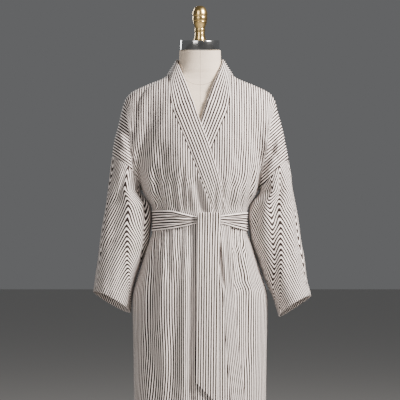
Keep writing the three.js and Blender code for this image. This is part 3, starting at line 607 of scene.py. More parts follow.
def seam_heights():
    """Heights of the panels' rows: even on the trunk and along the shoulder line."""
    low = np.linspace(HEM, UNDERARM, round((UNDERARM - HEM) / ROW_STEP) + 1)
    fine = np.linspace(UNDERARM, ZTOP, 2000)
    length = run_length(np.stack([arm["out_right"](fine), fine], -1))
    high = np.interp(np.arange(1, length[-1], SHOULDER_STEP), length, fine)
    starts = [float(armhole[name](FIRST_ARM_ANGLE)) for name in ("right", "left")]
    high = high[np.min(np.abs(high[:, None] - starts), axis=1) > 0.8]
    return low, np.unique(np.concatenate([high, starts, [ZTOP]]))


LOW_ROWS, HIGH_ROWS = seam_heights()


def covered(x, z):
    """How far a place on the left front lies under the right front: 0 clear, 1 covered."""
    return 1 - smooth((x + band_free(z) - 6) / 45)


def back_neck_x(z):
    return NECK_HALF * np.sqrt(np.maximum(0, z - BACK_NECK) / (NECK_POINT - BACK_NECK))


def cloth_points(z, turns, joined, under, out=0.0):
    z, turns = np.broadcast_arrays(z, turns)
    hidden = covered(outline(z, turns, joined, 0)[..., 0], z) if under else np.zeros(z.shape)
    return lifted(z, turns, joined, out - LAYER * hidden)


def half_panel(cloth, side, face, inner_x, under=False):
    """Adds one half of the body on one side to a cloth piece."""
    name = side_name(side)
    edge = float(side if face == "front" else 2 - side)
    outwards = math.copysign(1, edge - MIDDLE[face])
    flip = (side < 0) == (face == "front")
    share = np.linspace(0, 1, TRUNK_COLUMNS[face] + 1)
    roll = -seam_roll((1 - share) * PANEL_WIDTH, "side")

    def start(z):
        return turn_at(side * inner_x(z), z, True, face)

    def rows(z, begin, end, joined, out):
        turns = arc_turns(z, begin, end, joined, TRUNK_COLUMNS[face])
        points = cloth_points(z[:, None], turns, joined, under, out)
        return points, body_cut(side, face, points, outward_arc(side, face, z, turns, joined))

    def column_turn(angle, height):
        seam_z, seam_turn = armhole_place(side, angle, face)
        begin, seam_begin = start(height), start(seam_z)
        return begin + (edge - begin) * ((seam_turn - seam_begin) / (edge - seam_begin))

    z = LOW_ROWS
    end = edge - outwards * (SEAM_GAP / 2 / trunk["side"](z))
    low = rows(z, turn_at(side * inner_x(z), z, False, face), end, False, roll)

    z = HIGH_ROWS
    places = np.array([armhole_place(side, angle, face)
                       for angle in np.linspace(180, FIRST_ARM_ANGLE, 40)])
    first_z = places[-1, 0]
    crease = smooth((first_z + 6 - z) / 12)
    end = np.where(z < first_z, np.interp(z, *places.T), column_turn(FIRST_ARM_ANGLE, z))
    high = rows(z, start(z), end, True, roll * crease[:, None])
    body, cut = map(np.concatenate, zip(low, high))
    cloth.grid(body, cut, flip)
    sew_along("robe", body, body[..., 2], HEM + SKIRT_HEM)

    over_arm = z >= first_z - 1e-6
    above = z[over_arm]
    t = (above - above[0]) / (above[-1] - above[0])
    angles = np.linspace(FIRST_ARM_ANGLE, 0, ARM_COLUMNS + 1)
    heights = np.stack([mix(float(armhole[name](angle)), ZTOP, t) for angle in angles], -1)
    turns = np.stack([column_turn(angle, heights[:, i]) for i, angle in enumerate(angles)], -1)
    trim = (angles == 0) * outwards * SEAM_GAP / 2 / PANEL_WIDTH
    roll = -seam_roll(heights - heights[0], "armhole")
    roll[:, 0] *= crease[over_arm]
    points = cloth_points(heights, turns - trim, True, under, roll)
    sew_along("robe", points, heights - heights[0], STITCH["beside"] + 2)
    arc = np.concatenate([
        outward_arc(side, face, heights[:, i], turns[:, i:i + 1], True)
        for i in range(len(angles))], axis=1)
    return cloth.grid(points, body_cut(side, face, points, arc), flip)


# ---------------- sleeves
SLEEVE_GRID = 96           # columns round a sleeve, and rows along it
SLEEVE_RADIUS = 62         # turns angles into lengths round the sleeve
SLEEVE_LEAN = math.radians(24)     # lean of the sleeve's stripes from upright
SLEEVE_DRIFT = 0.6         # how much they keep that lean where the sleeve itself leans
# Angles round the arm of the two folds where the stripes turn back, at each height.
SLEEVE_TURNS = table("z right_first right_second left_first left_second", [
    (830, 174, 179, 148, 176), (870, 150, 178, 124, 151), (940, 117, 172, 98, 116),
    (1000, 101, 150, 84, 102), (1060, 93, 143, 77, 97), (1140, 95, 148, 77, 106),
    (1205, 98, 158, 72, 104), (1245, 99, 165, 70, 104),
])
sleeve_turns = curves(SLEEVE_TURNS)
SLEEVE_RIDGE = {"right": 34, "left": 26}    # and where they turn again beside the outer line
SETTLE = 70                # height over which the tube settles into the armhole's shape


def tube(side, angle, z):
    """Points of the plain sleeve tube and their outward directions."""
    name, round_ = side_name(side), np.radians(angle)
    wide, deep = arm["wide_" + name](z), arm["deep"](z)
    x = arm["out_" + name](z) - wide + wide * np.cos(round_)
    point = np.stack([side * x, -deep * np.sin(round_), z], -1)
    normal = np.stack([side * deep * np.cos(round_), -wide * np.sin(round_), 0 * z], -1)
    return point, unit(normal)


def sleeve(side):
    name = side_name(side)
    cuff = CUFF[name]
    angles = np.linspace(-180, 180, SLEEVE_GRID + 1)
    round_ = np.radians(angles)
    seam_z, seam_turn = np.array([
        armhole_place(side, abs(angle), "front" if angle >= 0 else "back") for angle in angles]).T
    low = cuff["z"] + cuff["outer"] * np.cos(round_) + cuff["front"] * np.sin(round_)
    z = mix(low, seam_z, np.linspace(0, 1, SLEEVE_GRID + 1)[:, None])
    point, normal = tube(side, np.broadcast_to(angles, z.shape), z)
    near = smooth(1 - (seam_z - z) / SETTLE)
    away = np.array([side * 0.55, 0, -0.85]) * SEAM_GAP * 3
    sewn_to = lifted(seam_z, seam_turn, True, -SEAM_DIP * 0.6) + away
    point = point + near[..., None] * (sewn_to - tube(side, angles, seam_z)[0])
    around = np.broadcast_to(round_, z.shape) * SLEEVE_RADIUS
    depth = crease_depth(SLEEVE_CREASES[name], around, z) * (1 - near) \
        + crease_depth(SLEEVE_TOP_CREASES[name], around, z) * smooth((seam_z - z - 4) / 18)
    hem = HEM_STEP * (smooth((z - low - CUFF_HEM + 2) / 4) - 0.5)
    point = point - normal * (depth + seam_roll(seam_z - z, "sleeve") + hem)[..., None]

    first, second = (around - np.radians(sleeve_turns[f"{name}_{which}"](z)) * SLEEVE_RADIUS
                     for which in ("first", "second"))
    turned_back = (first + np.sqrt(first ** 2 + 4)) - (second + np.sqrt(second ** 2 + 4))
    from_outer = np.sqrt((around - SLEEVE_RIDGE[name]) ** 2 + 9)
    middle = (arm["out_" + name](z) - arm["wide_" + name](z)) * SLEEVE_DRIFT
    across = turned_back - from_outer + middle
    across = across * math.cos(SLEEVE_LEAN) + z * math.sin(SLEEVE_LEAN)
    sew_along("robe", point, z - low, CUFF_HEM)
    return Cloth().grid(point, np.stack([side * across, z], -1), side < 0)


# ---------------- neck band
BAND_COLUMNS = 14
BAND_LIFT = 1.1            # the doubled band stands a little over the panels
BAND_EDGE = 3.0            # width over which the band's edges round off
BAND_SHOULDER = (63, 1.5, 1499)     # its free edge over the shoulder line


def neck_band(side):
    share = np.linspace(0, 1, BAND_COLUMNS + 1)

    def on_cloth(x, height, joined):
        hidden = covered(x, height) if side > 0 else np.zeros(x.shape)
        turn = turn_at(side * x, height, joined, "front")
        return lifted(height, turn, joined, -LAYER * hidden)

    def flat_rows(z, joined):
        top = (z + band_rise(z))[:, None]
        x = mix(band_seam(z)[:, None], band_free(top), share)
        return on_cloth(x, mix(z[:, None], top, share), joined)

    def neck_rows(seam, free):
        return mix(seam[:, None], free[:, None], share[:, None])

    def free_edge(at, z):
        return np.stack([side * at["x"](z), at["y"](z), at["z"](z)], -1)

    high = np.concatenate([[UNDERARM + 0.01], HIGH_ROWS])
    on_neck = high >= BAND_NECK[0]["seam"]
    upper = high[on_neck]
    behind = np.linspace(BAND_BACK[-1]["seam"], BACK_NECK, 14)
    back_seam = lifted(behind, turn_at(side * back_neck_x(behind), behind, True, "back"), True, 0)
    points = np.concatenate([
        flat_rows(LOW_ROWS[:-1], False),
        flat_rows(high[~on_neck], True),
        neck_rows(on_cloth(band_seam(upper), upper, True), free_edge(band_neck, upper)),
        neck_rows(lifted(np.array([ZTOP]), float(side), True, 0),
                  np.array([BAND_SHOULDER]) * [side, 1, 1]),
        neck_rows(back_seam, free_edge(band_back, behind)),
    ])
    along = np.gradient(points, axis=0)
    normal = unit(np.cross(np.gradient(points, axis=1), along)) * -side
    width = np.linalg.norm(points[:, -1:] - points[:, :1], axis=-1)
    rise = BAND_LIFT * smooth(np.minimum(share, 1 - share) * width / BAND_EDGE) - 0.1
    first = np.linalg.norm(points[:, 1] - points[:, 0], axis=-1, keepdims=True)
    points = points + normal * rise[..., None]
    points[:, 0] += (points[:, 1] - points[:, 0]) / first * 0.2     # clear of the panel's edge
    points[-1, :, 0] += side * 0.4                                  # and of the other half
    across = share * width
    cut = np.stack([side * share * BAND_STRIPES * STRIPE + 0 * width,
                    run_length(points[:, 0])[:, None] + 0 * across], -1)
    for from_edge in (across, width - across):
        sew_along("robe", points.swapaxes(0, 1), from_edge.swapaxes(0, 1), STITCH["beside"])
    return Cloth().grid(points, cut, side > 0)


# ---------------- belt
BELT_WIDTH = 54
QUARTER = 190.0            # length of the belt in a quarter of the way round
FOLDED_UNDER = {"knot": 0.36, "side": 0.2, "soft": 0.08}     # where part of its width is hidden


def belt_edges(turn):
    """The belt's lower and upper edge at turns from -1 to 3."""
    x = BELT[-1]["x"] * np.sin(turn * math.pi / 2)
    behind = np.clip((turn - 1) / 2, 0, 1)
    return (np.where(turn <= 1, belt[edge](x), mix(BELT[-1][edge], BELT[0][edge], behind))
            for edge in ("bottom", "top"))


def belt_wrap():
    share = np.linspace(0, 1, 41)[:, None]
    turn = np.linspace(-1, 3, 361)[None, :]
    bottom, top = belt_edges(turn)
    z = mix(bottom, top, share)
    turn = np.broadcast_to(turn, z.shape)
    around = turn * QUARTER
    rounding = 0.8 * (1 - smooth(np.minimum(share, 1 - share) * (top - bottom) / 3))
    depth = crease_depth(BELT_CREASES, around, share * BELT_WIDTH) + rounding
    points = lifted(z, turn, False, BELT_LIFT - depth, 0)
    shown = (top - bottom) / BELT_WIDTH
    line = mix(FOLDED_UNDER["knot"], FOLDED_UNDER["side"], shown)
    low = 1 - smooth((share - line) / FOLDED_UNDER["soft"] + 0.5)
    high = smooth((share - 1 + line) / FOLDED_UNDER["soft"] + 0.5)
    across = (share - 0.5) * shown + (high - low) * (1 - shown) / 2
    return Cloth().grid(points, np.stack([across * BELT_STRIPES * STRIPE + 0 * z, around], -1))


def belt_knot():
    """The folded belt inside the knot: a flat pleated roll."""
    share = np.linspace(0, 1, 41)[:, None]
    round_ = -np.linspace(0, 2 * math.pi, 73)[None, :]
    size = np.sqrt(np.clip(1 - ((share - 0.5) / 0.5) ** 2 * 0.5, 0, 1))
    pleats = 1 + 0.05 * np.cos(round_ * 9 + 2.2 * share) + 0.03 * np.cos(round_ * 5 - 3 * share)
    x = mix(KNOT["left"], KNOT["right"], share) + 0 * round_
    z = mix(KNOT["bottom"], KNOT["top"], 0.5 + 0.5 * size * pleats * np.sin(round_))
    out = mix(KNOT["near"], KNOT["far"], 0.5 + 0.5 * size * pleats * np.cos(round_))
    points = lifted(z, turn_at(x, z, False, "front"), False, out, 0)
    points[:, -1] = points[:, 0]
    cut = np.stack([round_ / math.pi * KNOT_STRIPES * STRIPE + 0 * x, x], -1)
    return Cloth().grid(points, cut)


def smooth_path(rows, step):
    """Places about `step` apart along a smooth line through rows of (z, out)."""
    knots = np.array([[row["z"], row["out"]] for row in rows], float)
    ghost = np.concatenate([[2 * knots[0] - knots[1]], knots, [2 * knots[-1] - knots[-2]]])
    t = np.linspace(0, 1, 40, endpoint=False)[:, None]
    parts = []
    for a, b, c, d in zip(ghost, ghost[1:], ghost[2:], ghost[3:]):
        m, n = (c - a) / 2, (d - b) / 2
        parts.append(b + m * t + (3 * (c - b) - 2 * m - n) * t ** 2
                     + (2 * (b - c) + m + n) * t ** 3)
    line = np.concatenate([*parts, knots[-1:]])
    length = run_length(line)
    even = np.linspace(0, length[-1], max(2, round(length[-1] / step)))
    return np.stack([np.interp(even, length, line[:, i]) for i in (0, 1)], -1)


def belt_tail(tail, creases):
    path = smooth_path(tail["path"], 2.5)
    share = np.linspace(0, 1, 25)[None, :]
    end = mix(tail["short"], tail["long"], share)
    down = np.linspace(0, 1, 60)[1:, None]
    z = np.concatenate([path[:, :1] + 0 * share, mix(path[-1, 0], end, down)])
    out = np.concatenate([path[:, 1:], path[-1, 1] + 0 * down]) + 0 * share
    top = tail["path"][0]["z"]
    x = mix(tail["left_top"], tail["left_end"], (top - z) / (top - tail["short"]))
    across = share * tail["wide"] + 0 * z
    rounding = 0.7 * (1 - smooth(np.minimum(share, 1 - share) * tail["wide"] / 2.5))
    depth = crease_depth(creases, across, z) + rounding
    points = lifted(z, turn_at(x + across, z, False, "front"), False, out - depth, 0)
    sew_along("belt", points, z - end, TAIL_HEM)
    for inset in (STITCH["beside"], tail["wide"] - STITCH["beside"]):
        sew_along("belt", points.swapaxes(0, 1), across.swapaxes(0, 1), inset)
    cut = np.stack([share * TAIL_STRIPES * STRIPE + 0 * z, z], -1)
    return Cloth().grid(points, cut, True)


# ---------------- dress form and stand
FORM_SIDES = 128


def closed_rings(name, rings, node, slot):
    """A closed mesh of rings of points, bottom to top, with flat ends."""
    rows, sides = rings.shape[:2]
    index = np.arange(rows * sides).reshape(rows, sides)
    turned = np.roll(index, -1, axis=1)
    quads = np.stack([index[:-1], turned[:-1], turned[1:], index[1:]], -1).reshape(-1, 4).tolist()
    faces = quads + [index[0][::-1].tolist(), index[-1].tolist()]
    flat = np.arange(len(faces)) < len(quads)
    return placed(mesh_object(name, rings.reshape(-1, 3), faces, flat), node, slot)


def form_body():
    form = curves(FORM)
    z = np.concatenate([np.linspace(FORM[0]["z"], 1380, 130), np.linspace(1382, NECK_TOP[2], 90)])
    low_neck = FORM[-4]["z"]
    lean = np.maximum(0, (z - low_neck) / (NECK_TOP[2] - low_neck))[:, None]
    round_ = 2 * math.pi * np.arange(FORM_SIDES)[None, :] / FORM_SIDES
    across, ahead = (np.sign(at) * np.abs(at) ** (2 / OVAL)
                     for at in (np.cos(round_), np.sin(round_)))
    height = z[:, None]
    x = form["side"](height) * across
    y = np.where(ahead < 0, form["front"](height), form["back"](height)) * ahead
    tilt = NECK_LEAN * lean
    points = np.stack([
        x, y * np.cos(tilt) + NECK_TOP[1] * lean * lean, height + y * np.sin(tilt)], -1)
    edge = np.concatenate([points[:1] * [0.985, 0.985, 1], points], axis=0)
    edge[0, :, 2] = z[0]
    edge[1, :, 2] += 2.5
    return closed_rings("dress_form", edge, "form_body", "form_linen")


def turned_piece(name, profile, node, slot, sides=96, seat=None):
    """A turned piece from (radius, height) rows, upright or on the leaning neck."""
    profile = np.array(profile, float)
    round_ = 2 * math.pi * np.arange(sides) / sides
    rings = np.stack([
        profile[:, :1] * np.cos(round_), profile[:, :1] * np.sin(round_),
        np.broadcast_to(profile[:, 1:], (len(profile), sides))], -1)
    if seat is not None:
        lean = np.array(Matrix.Rotation(NECK_LEAN, 3, "X"))
        rings = (rings + [0, 0, seat]) @ lean.T + NECK_TOP
    return closed_rings(name, rings, node, slot)


def rounded(profile, radius, steps=5):
    """A profile with its corners rounded off."""
    profile = np.array(profile, float)
    out = [profile[0]]
    for before, corner, after in zip(profile, profile[1:], profile[2:]):
        back, ahead = before - corner, after - corner
        reach = min(radius, 0.45 * np.linalg.norm(back), 0.45 * np.linalg.norm(ahead))
        start, end = corner + unit(back) * reach, corner + unit(ahead) * reach
        out += [(1 - t) ** 2 * start + 2 * t * (1 - t) * corner + t * t * end
                for t in np.linspace(0, 1, steps)]
    return [*out, profile[-1]]


CAP = {"radius": 53, "height": 27}
CAP_PROFILE = [(0.5, 0), (CAP["radius"], 0), (CAP["radius"], CAP["height"]), (0.5, CAP["height"])]
FINIAL_PROFILE = [
    (0.5, 0), (17, 0), (17, 1.6), (15.6, 3), (14.2, 9), (13.5, 18), (12.8, 21.5), (14.3, 23.5),
    (14.3, 30), (13.2, 32), (14.8, 37), (17.4, 44), (18.9, 49.6), (17.6, 51), (19.7, 53.5),
    (19.7, 61.5), (18.2, 64.5), (20.3, 67), (19.8, 73), (17.8, 80), (14, 86.4), (8, 90.8),
    (3, 91.8), (0.5, 92),
]
HARD_GAP = 0.3            # between two hard pieces that touch
POLE_PROFILE = [(17, 26.3), (17, 719.7)]
BASE_PROFILE = [
    (0.5, 0), (205, 0), (205, 10), (201, 14.5), (195, 16), (34, 16), (30, 19), (28, 26), (0.5, 26),
]


# ---------------- materials
def node(tree, kind, links=(), **settings):
    """A node with its settings, its inputs linked or set: (input, socket or value)."""
    made = tree.nodes.new(kind)
    for name, value in settings.items():
        setattr(made, name, value)
    for where, what in links:
        if isinstance(what, bpy.types.NodeSocket):
            tree.links.new(what, made.inputs[where])
        else:
            made.inputs[where].default_value = what
    return made


def maths(tree, operation, *values):
    return node(tree, "ShaderNodeMath", list(enumerate(values)), operation=operation).outputs[0]


def scaled(tree, vector, factors):
    """A vector times three factors, or times one value."""
    return node(tree, "ShaderNodeVectorMath", [(0, vector), (1, factors)],
                operation="MULTIPLY").outputs[0]


def noise(tree, place, scale, detail=2.0, distortion=0.0):
    return node(tree, "ShaderNodeTexNoise", [
        ("Vector", place), ("Scale", scale), ("Detail", detail),
        ("Distortion", distortion)]).outputs["Fac"]


def blend(tree, factor, first, second):
    """One colour over another."""
    return node(tree, "ShaderNodeMix", [("Factor", factor), (6, first), (7, second)],
                data_type="RGBA").outputs[2]


def spread(tree, value, low, high, to_low=0.0, to_high=1.0, kind="LINEAR"):
    """A value between two limits, spread between two others."""
    return node(tree, "ShaderNodeMapRange", [
        ("Value", value), ("From Min", low), ("From Max", high), ("To Min", to_low),
        ("To Max", to_high)], interpolation_type=kind).outputs["Result"]


def own_place(tree):
    return node(tree, "ShaderNodeTexCoord").outputs["Object"]


def dial(shader, **values):
    """Sets a shader's own sockets; an underscore stands for a space."""
    for name, value in values.items():
        shader.inputs[name.replace("_", " ")].default_value = value


def group(name, inputs, outputs):
    """An empty shader node group with its sockets: (name, type, default) and output names."""
    tree = bpy.data.node_groups.new(name, "ShaderNodeTree")
    for title, kind, value in inputs:
        socket = tree.interface.new_socket(title, in_out="INPUT", socket_type=kind)
        if value is not None:
            socket.default_value = value
    for title in outputs:
        tree.interface.new_socket(title, in_out="OUTPUT", socket_type="NodeSocketFloat")
    return tree, tree.nodes.new("NodeGroupInput").outputs, tree.nodes.new("NodeGroupOutput").inputs


def striped_weave():
    """Dyed stripes and weave of a cotton: where a place is dark, its tone and its height."""
    tree, into, out = group("striped_weave", [
        ("Cut", "NodeSocketVector", None),
        ("Period", "NodeSocketFloat", STRIPE * MM),
        ("Dark Share", "NodeSocketFloat", 0.5),
        ("Thread", "NodeSocketFloat", 0.0008),
    ], ["Stripe", "Tone", "Height"])
    place = node(tree, "ShaderNodeSeparateXYZ", [("Vector", into["Cut"])]).outputs
    uneven = maths(tree, "SUBTRACT", noise(tree, into["Cut"], 90.0), 0.5)
    dyed = maths(tree, "ADD", place["X"], maths(tree, "MULTIPLY", uneven, 0.0007))
    inside = maths(tree, "PINGPONG", maths(tree, "DIVIDE", dyed, into["Period"]), 0.5)
    edge = maths(tree, "MULTIPLY", into["Dark Share"], 0.5)
    stripe = spread(tree, inside, maths(tree, "ADD", edge, 0.035),
                    maths(tree, "SUBTRACT", edge, 0.035), kind="SMOOTHSTEP")
    warp, weft = (
        maths(tree, "SINE", maths(
            tree, "MULTIPLY", maths(tree, "DIVIDE", place[axis], into["Thread"]), math.tau))
        for axis in "XY")
    slub = noise(tree, scaled(tree, into["Cut"], (1600.0, 60.0, 1.0)), 1.0, 1.0)
    weave = maths(tree, "MULTIPLY", maths(tree, "MULTIPLY", warp, weft), 0.5)
    tree.links.new(stripe, out["Stripe"])
    tree.links.new(slub, out["Tone"])
    tree.links.new(maths(tree, "ADD", weave, slub), out["Height"])
    return tree


def fine_marks():
    """Faint wear of a polished metal: a roughness to add and the height of fine scratches."""
    tree, into, out = group("fine_marks", [
        ("Place", "NodeSocketVector", None),
        ("Scale", "NodeSocketFloat", 40.0),
        ("Amount", "NodeSocketFloat", 0.1),
    ], ["Roughness", "Height"])
    cloud = noise(tree, into["Place"], into["Scale"], 5.0)
    scratches = noise(tree, scaled(tree, into["Place"], (60.0, 60.0, 1800.0)), 1.0)
    tree.links.new(maths(tree, "MULTIPLY", cloud, into["Amount"]), out["Roughness"])
    tree.links.new(scratches, out["Height"])
    return tree


def material(name):
    made = bpy.data.materials.new(name)
    made.use_nodes = True
    return made, made.node_tree, made.node_tree.nodes["Principled BSDF"]


def bump(tree, shader, *layers):
    """Chains bump nodes: (height, strength, distance in metres)."""
    links = []
    for height, strength, distance in layers:
        links += [("Height", height), ("Strength", strength), ("Distance", distance)]
        links = [("Normal", node(tree, "ShaderNodeBump", links).outputs["Normal"])]
    tree.links.new(links[0][1], shader.inputs["Normal"])


CREAM = (0.93, 0.845, 0.80, 1)
TAUPE = (0.020, 0.012, 0.010, 1)
DARK_SHARE = 0.58          # how much of the cotton is dark


def striped_cotton(name):
    made, tree, shader = material(name)
    cut = node(tree, "ShaderNodeUVMap", uv_map="cut").outputs["UV"]
    weave = node(tree, "ShaderNodeGroup", node_tree=STRIPED_WEAVE)
    tree.links.new(cut, weave.inputs["Cut"])
    weave.inputs["Dark Share"].default_value = DARK_SHARE
    weave = weave.outputs
    tone = spread(tree, weave["Tone"], 0.3, 0.7, 0.93, 1.05)
    colour = scaled(tree, blend(tree, weave["Stripe"], CREAM, TAUPE), tone)
    tree.links.new(colour, shader.inputs["Base Color"])
    rough = spread(tree, weave["Tone"], 0.0, 1.0, 0.62, 0.8)
    tree.links.new(rough, shader.inputs["Roughness"])
    dial(shader, Specular_IOR_Level=0.18, Sheen_Weight=0.06, Sheen_Roughness=0.5)
    crumple = noise(tree, own_place(tree), 16.0, 3.0, 0.6)
    bump(tree, shader, (crumple, 0.5, 0.006), (weave["Height"], 0.35, 0.0003))
    return made


LINEN = ((0.62, 0.51, 0.40, 1), (0.77, 0.66, 0.54, 1))
SEAM_SHADE = (0.24, 0.18, 0.13, 1)
NECK_SEAM = {"level": 1.442, "rise": 0.35, "curve": 8.0}      # in metres


def seam_mask(tree, x, half_width):
    """1 on a line where x is near 0."""
    return spread(tree, maths(tree, "ABSOLUTE", x), half_width, half_width * 0.4,
                  kind="SMOOTHSTEP")


def natural_linen():
    made, tree, shader = material("natural_linen")
    place = own_place(tree)
    xyz = node(tree, "ShaderNodeSeparateXYZ", [("Vector", place)]).outputs
    threads = [noise(tree, scaled(tree, place, squeeze), 1.0)
               for squeeze in ((900.0, 900.0, 70.0), (70.0, 70.0, 900.0))]
    cloth = maths(tree, "ADD", *threads)
    centre = seam_mask(tree, xyz["X"], 0.0009)
    level = maths(tree, "MULTIPLY_ADD", maths(tree, "MULTIPLY", xyz["X"], xyz["X"]),
                  NECK_SEAM["curve"], NECK_SEAM["level"])
    level = maths(tree, "MULTIPLY_ADD", xyz["Y"], NECK_SEAM["rise"], level)
    around = seam_mask(tree, maths(tree, "SUBTRACT", xyz["Z"], level), 0.0010)
    seams = maths(tree, "MAXIMUM", centre, around)
    colour = blend(tree, maths(tree, "SUBTRACT", cloth, 0.5), *LINEN)
    colour = blend(tree, maths(tree, "MULTIPLY", seams, 0.34), colour, SEAM_SHADE)
    tree.links.new(colour, shader.inputs["Base Color"])
    dial(shader, Roughness=0.85, Specular_IOR_Level=0.2)
    bump(tree, shader, (cloth, 0.5, 0.0006), (maths(tree, "SUBTRACT", 1.0, seams), 0.7, 0.0015))
    return made


def metal(name, colour, roughness, wear, marks):
    made, tree, shader = material(name)
    worn = node(tree, "ShaderNodeGroup", node_tree=FINE_MARKS)
    tree.links.new(own_place(tree), worn.inputs["Place"])
    worn.inputs["Amount"].default_value = wear
    rough = maths(tree, "ADD", worn.outputs["Roughness"], roughness)
    tree.links.new(rough, shader.inputs["Roughness"])
    dial(shader, Base_Color=colour, Metallic=1.0)
    bump(tree, shader, (worn.outputs["Height"], marks, 0.0002))
    return made


def cotton_thread():
    made, tree, shader = material("cotton_thread")
    twist = noise(tree, own_place(tree), 1500.0)
    colour = blend(tree, twist, (0.40, 0.34, 0.27, 1), (0.55, 0.49, 0.41, 1))
    tree.links.new(colour, shader.inputs["Base Color"])
    dial(shader, Roughness=0.7)
    return made


STRIPED_WEAVE = striped_weave()
FINE_MARKS = fine_marks()
MATERIALS = {
    "robe_cloth": striped_cotton("robe_cotton"),
    "belt_cloth": striped_cotton("belt_cotton"),
    "form_linen": natural_linen(),
    "cap_steel": metal("polished_steel", (0.68, 0.68, 0.67, 1), 0.07, 0.14, 0.05),
    "finial_brass": metal("aged_brass", (0.70, 0.50, 0.21, 1), 0.14, 0.22, 0.05),
    "stand_steel": metal("brushed_steel", (0.50, 0.50, 0.49, 1), 0.28, 0.16, 0.25),
}
THREAD = cotton_thread()

# ---------------- stitches
seam_lines = {"robe": [], "belt": []}


def sew_along(kind, points, value, level, lift=0.12):
    """Notes a row of stitches where `value` passes `level` between the rows of a grid."""
    along = np.gradient(points, axis=0)
    normal = unit(np.cross(np.gradient(points, axis=1), along))
    centre = points.mean(axis=(0, 1)) * [1, 1, 0]
    outwards = np.sign((normal * (points - centre)).sum())
    line = []
    for column in range(points.shape[1]):
        values = value[:, column]
        over = np.flatnonzero((values[:-1] - level) * (values[1:] - level) <= 0)
        if len(over):
            i = over[0]
            t = (level - values[i]) / (values[i + 1] - values[i] or 1)
            place = mix(points[i, column], points[i + 1, column], t)
            line.append(place + normal[i, column] * outwards * lift)
    seam_lines[kind].append(np.array(line))


def stitch_tree():
    """Stitches along every line of a mesh of edges."""
    tree = bpy.data.node_groups.new("stitch_rows", "GeometryNodeTree")
    for title, kind, value in (
        ("Lines", "Geometry", None), ("Spacing", "Float", STITCH["spacing"] * MM),
        ("Length", "Float", STITCH["length"] * MM), ("Thickness", "Float", STITCH["thick"] * MM),
        ("Seed", "Int", 7), ("Thread", "Material", None),
    ):
        socket = tree.interface.new_socket(title, in_out="INPUT", socket_type=f"NodeSocket{kind}")
        if value is not None:
            socket.default_value = value
    tree.interface.new_socket("Stitches", in_out="OUTPUT", socket_type="NodeSocketGeometry")
    into = tree.nodes.new("NodeGroupInput").outputs
    out = tree.nodes.new("NodeGroupOutput")
    line = node(tree, "GeometryNodeMeshToCurve", [("Mesh", into["Lines"])])
    places = node(tree, "GeometryNodeResampleCurve", [
        ("Curve", line.outputs["Curve"]), ("Length", into["Spacing"])], mode="LENGTH")
    bead = node(tree, "GeometryNodeMeshUVSphere", [("Segments", 6), ("Rings", 4), ("Radius", 0.5)])
    tangent = node(tree, "GeometryNodeInputTangent")
    turn = node(tree, "FunctionNodeAlignRotationToVector", [("Vector", tangent.outputs[0])],
                axis="X")
    uneven = node(tree, "FunctionNodeRandomValue", [(2, 0.85), (3, 1.1), ("Seed", into["Seed"])],
                  data_type="FLOAT")
    length = maths(tree, "MULTIPLY", into["Length"], uneven.outputs[1])
    size = node(tree, "ShaderNodeCombineXYZ", [
        ("X", length), ("Y", into["Thickness"]), ("Z", into["Thickness"])])
    beads = node(tree, "GeometryNodeInstanceOnPoints", [
        ("Points", places.outputs["Curve"]), ("Instance", bead.outputs["Mesh"]),
        ("Rotation", turn.outputs["Rotation"]), ("Scale", size.outputs["Vector"])])
    real = node(tree, "GeometryNodeRealizeInstances", [("Geometry", beads.outputs["Instances"])])
    finish = node(tree, "GeometryNodeSetMaterial", [
        ("Geometry", real.outputs["Geometry"]), ("Material", into["Thread"])])
    tree.links.new(finish.outputs["Geometry"], out.inputs["Stitches"])
    return tree


def sewn(name, lines):
    """The stitches along lines of points, as one plain mesh."""
    starts = np.cumsum([0] + [len(line) for line in lines])
    edges = [(i, i + 1) for a, b in zip(starts, starts[1:]) for i in range(a, b - 1)]
    mesh = bpy.data.meshes.new(f"{name}_lines")
    mesh.from_pydata((np.concatenate(lines) * MM).tolist(), edges, [])
    guide = linked(f"{name}_lines", mesh)
    modifier = guide.modifiers.new("stitches", "NODES")
    modifier.node_group = STITCH_ROWS
    inputs = {item.name: item.identifier for item in STITCH_ROWS.interface.items_tree
              if item.in_out == "INPUT"}
    modifier[inputs["Thread"]] = THREAD
    graph = bpy.context.evaluated_depsgraph_get()
    plain = bpy.data.meshes.new_from_object(guide.evaluated_get(graph), depsgraph=graph)
    guide.modifiers.remove(modifier)
    bpy.data.objects.remove(guide)
    plain.shade_smooth()
    obj = linked(name, plain)
    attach(obj, "root")


STITCH_ROWS = stitch_tree()

# ---------------- the robe
back = Cloth()
for side in (-1, 1):
    half_panel(back, side, "back", back_neck_x)
back = back.shell("back_panel", "robe_back", "robe_cloth")
fronts, sleeves, bands = [], [], []
for side in (-1, 1):
    name = side_name(side)
    front = half_panel(Cloth(), side, "front", band_seam, under=side > 0)
    fronts.append(front.shell(f"{name}_front", f"robe_front_{name}", "robe_cloth"))
    sleeves.append(sleeve(side).shell(f"{name}_sleeve", f"sleeve_{name}", "robe_cloth"))
    bands.append(neck_band(side).shell(
        f"{name}_band", f"band_{name}", "robe_cloth", BAND_THICKNESS))

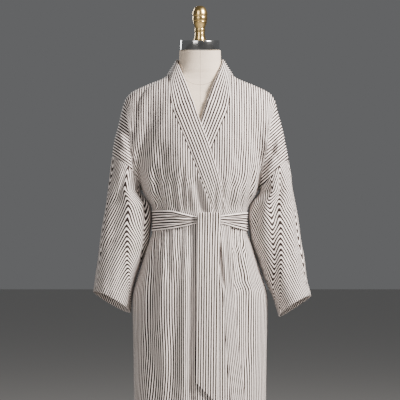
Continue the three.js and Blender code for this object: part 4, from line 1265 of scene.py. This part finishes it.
# ---------------- the belt
wrap, knot, tail_front, tail_back = (
    cloth.shell(name, node_name, "belt_cloth", BELT_THICKNESS)
    for cloth, name, node_name in (
        (belt_wrap(), "belt_round_waist", "belt_wrap"),
        (belt_knot(), "belt_knot_core", "belt_knot"),
        (belt_tail(TAIL_FRONT, TAIL_FRONT_CREASES), "belt_front_end", "belt_tail_front"),
        (belt_tail(TAIL_BACK, TAIL_BACK_CREASES), "belt_rear_end", "belt_tail_back"),
    ))

sewn("robe_stitches", seam_lines["robe"])
sewn("belt_stitches", seam_lines["belt"])

# ---------------- the dress form
form_body()
turned_piece("neck_cap", rounded(CAP_PROFILE, 2.0), "form_cap", "cap_steel", seat=HARD_GAP)
turned_piece("neck_finial", rounded(FINIAL_PROFILE, 1.6), "form_finial", "finial_brass",
             seat=CAP["height"] + 2 * HARD_GAP)
turned_piece("pole", POLE_PROFILE, "stand_pole", "stand_steel")
turned_piece("base_plate", rounded(BASE_PROFILE, 3.0), "stand_base", "stand_steel", sides=160)

# ---------------- stage, light, camera
bpy.ops.mesh.primitive_plane_add(size=60, location=(0, 0, 0))
floor = bpy.context.object
floor.name = "studio_floor"
floor_paint, _, floor_shader = material("pale_floor")
dial(floor_shader, Base_Color=(0.62, 0.61, 0.59, 1), Roughness=0.75)
floor.data.materials.append(floor_paint)


def area_light(name, place, aim_height, size, power, colour=(1, 1, 1)):
    light = bpy.data.lights.new(name, "AREA")
    light.shape = "RECTANGLE"
    light.size, light.size_y = size
    light.energy = power
    light.color = colour
    aimed(linked(name, light), place, aim_height)


def aimed(obj, place, aim_height):
    """Sets an object at its place, aimed at a height on the form's axis."""
    obj.location = place
    obj.rotation_euler = (Vector((0, 0, aim_height)) - Vector(place)).to_track_quat(
        "-Z", "Y").to_euler()


area_light("key", (1.5, -1.2, 2.4), 1.2, (0.6, 0.8), 195, (1.0, 0.95, 0.91))
area_light("fill", (-1.3, -2.7, 2.1), 1.15, (1.4, 1.6), 36, (1.0, 0.96, 0.93))
area_light("rim", (-1.2, 2.4, 2.4), 1.2, (1.2, 1.2), 30)

world = bpy.data.worlds.new("studio")
world.use_nodes = True
dial(world.node_tree.nodes["Background"], Color=(0.80, 0.81, 0.83, 1), Strength=0.16)
bpy.context.scene.world = world

camera = linked("camera", bpy.data.cameras.new("camera"))
camera.data.sensor_width = 36
camera.data.lens = 111.8
aimed(camera, (0, -3.35, 0.975), 1.1175)
bpy.context.scene.camera = camera
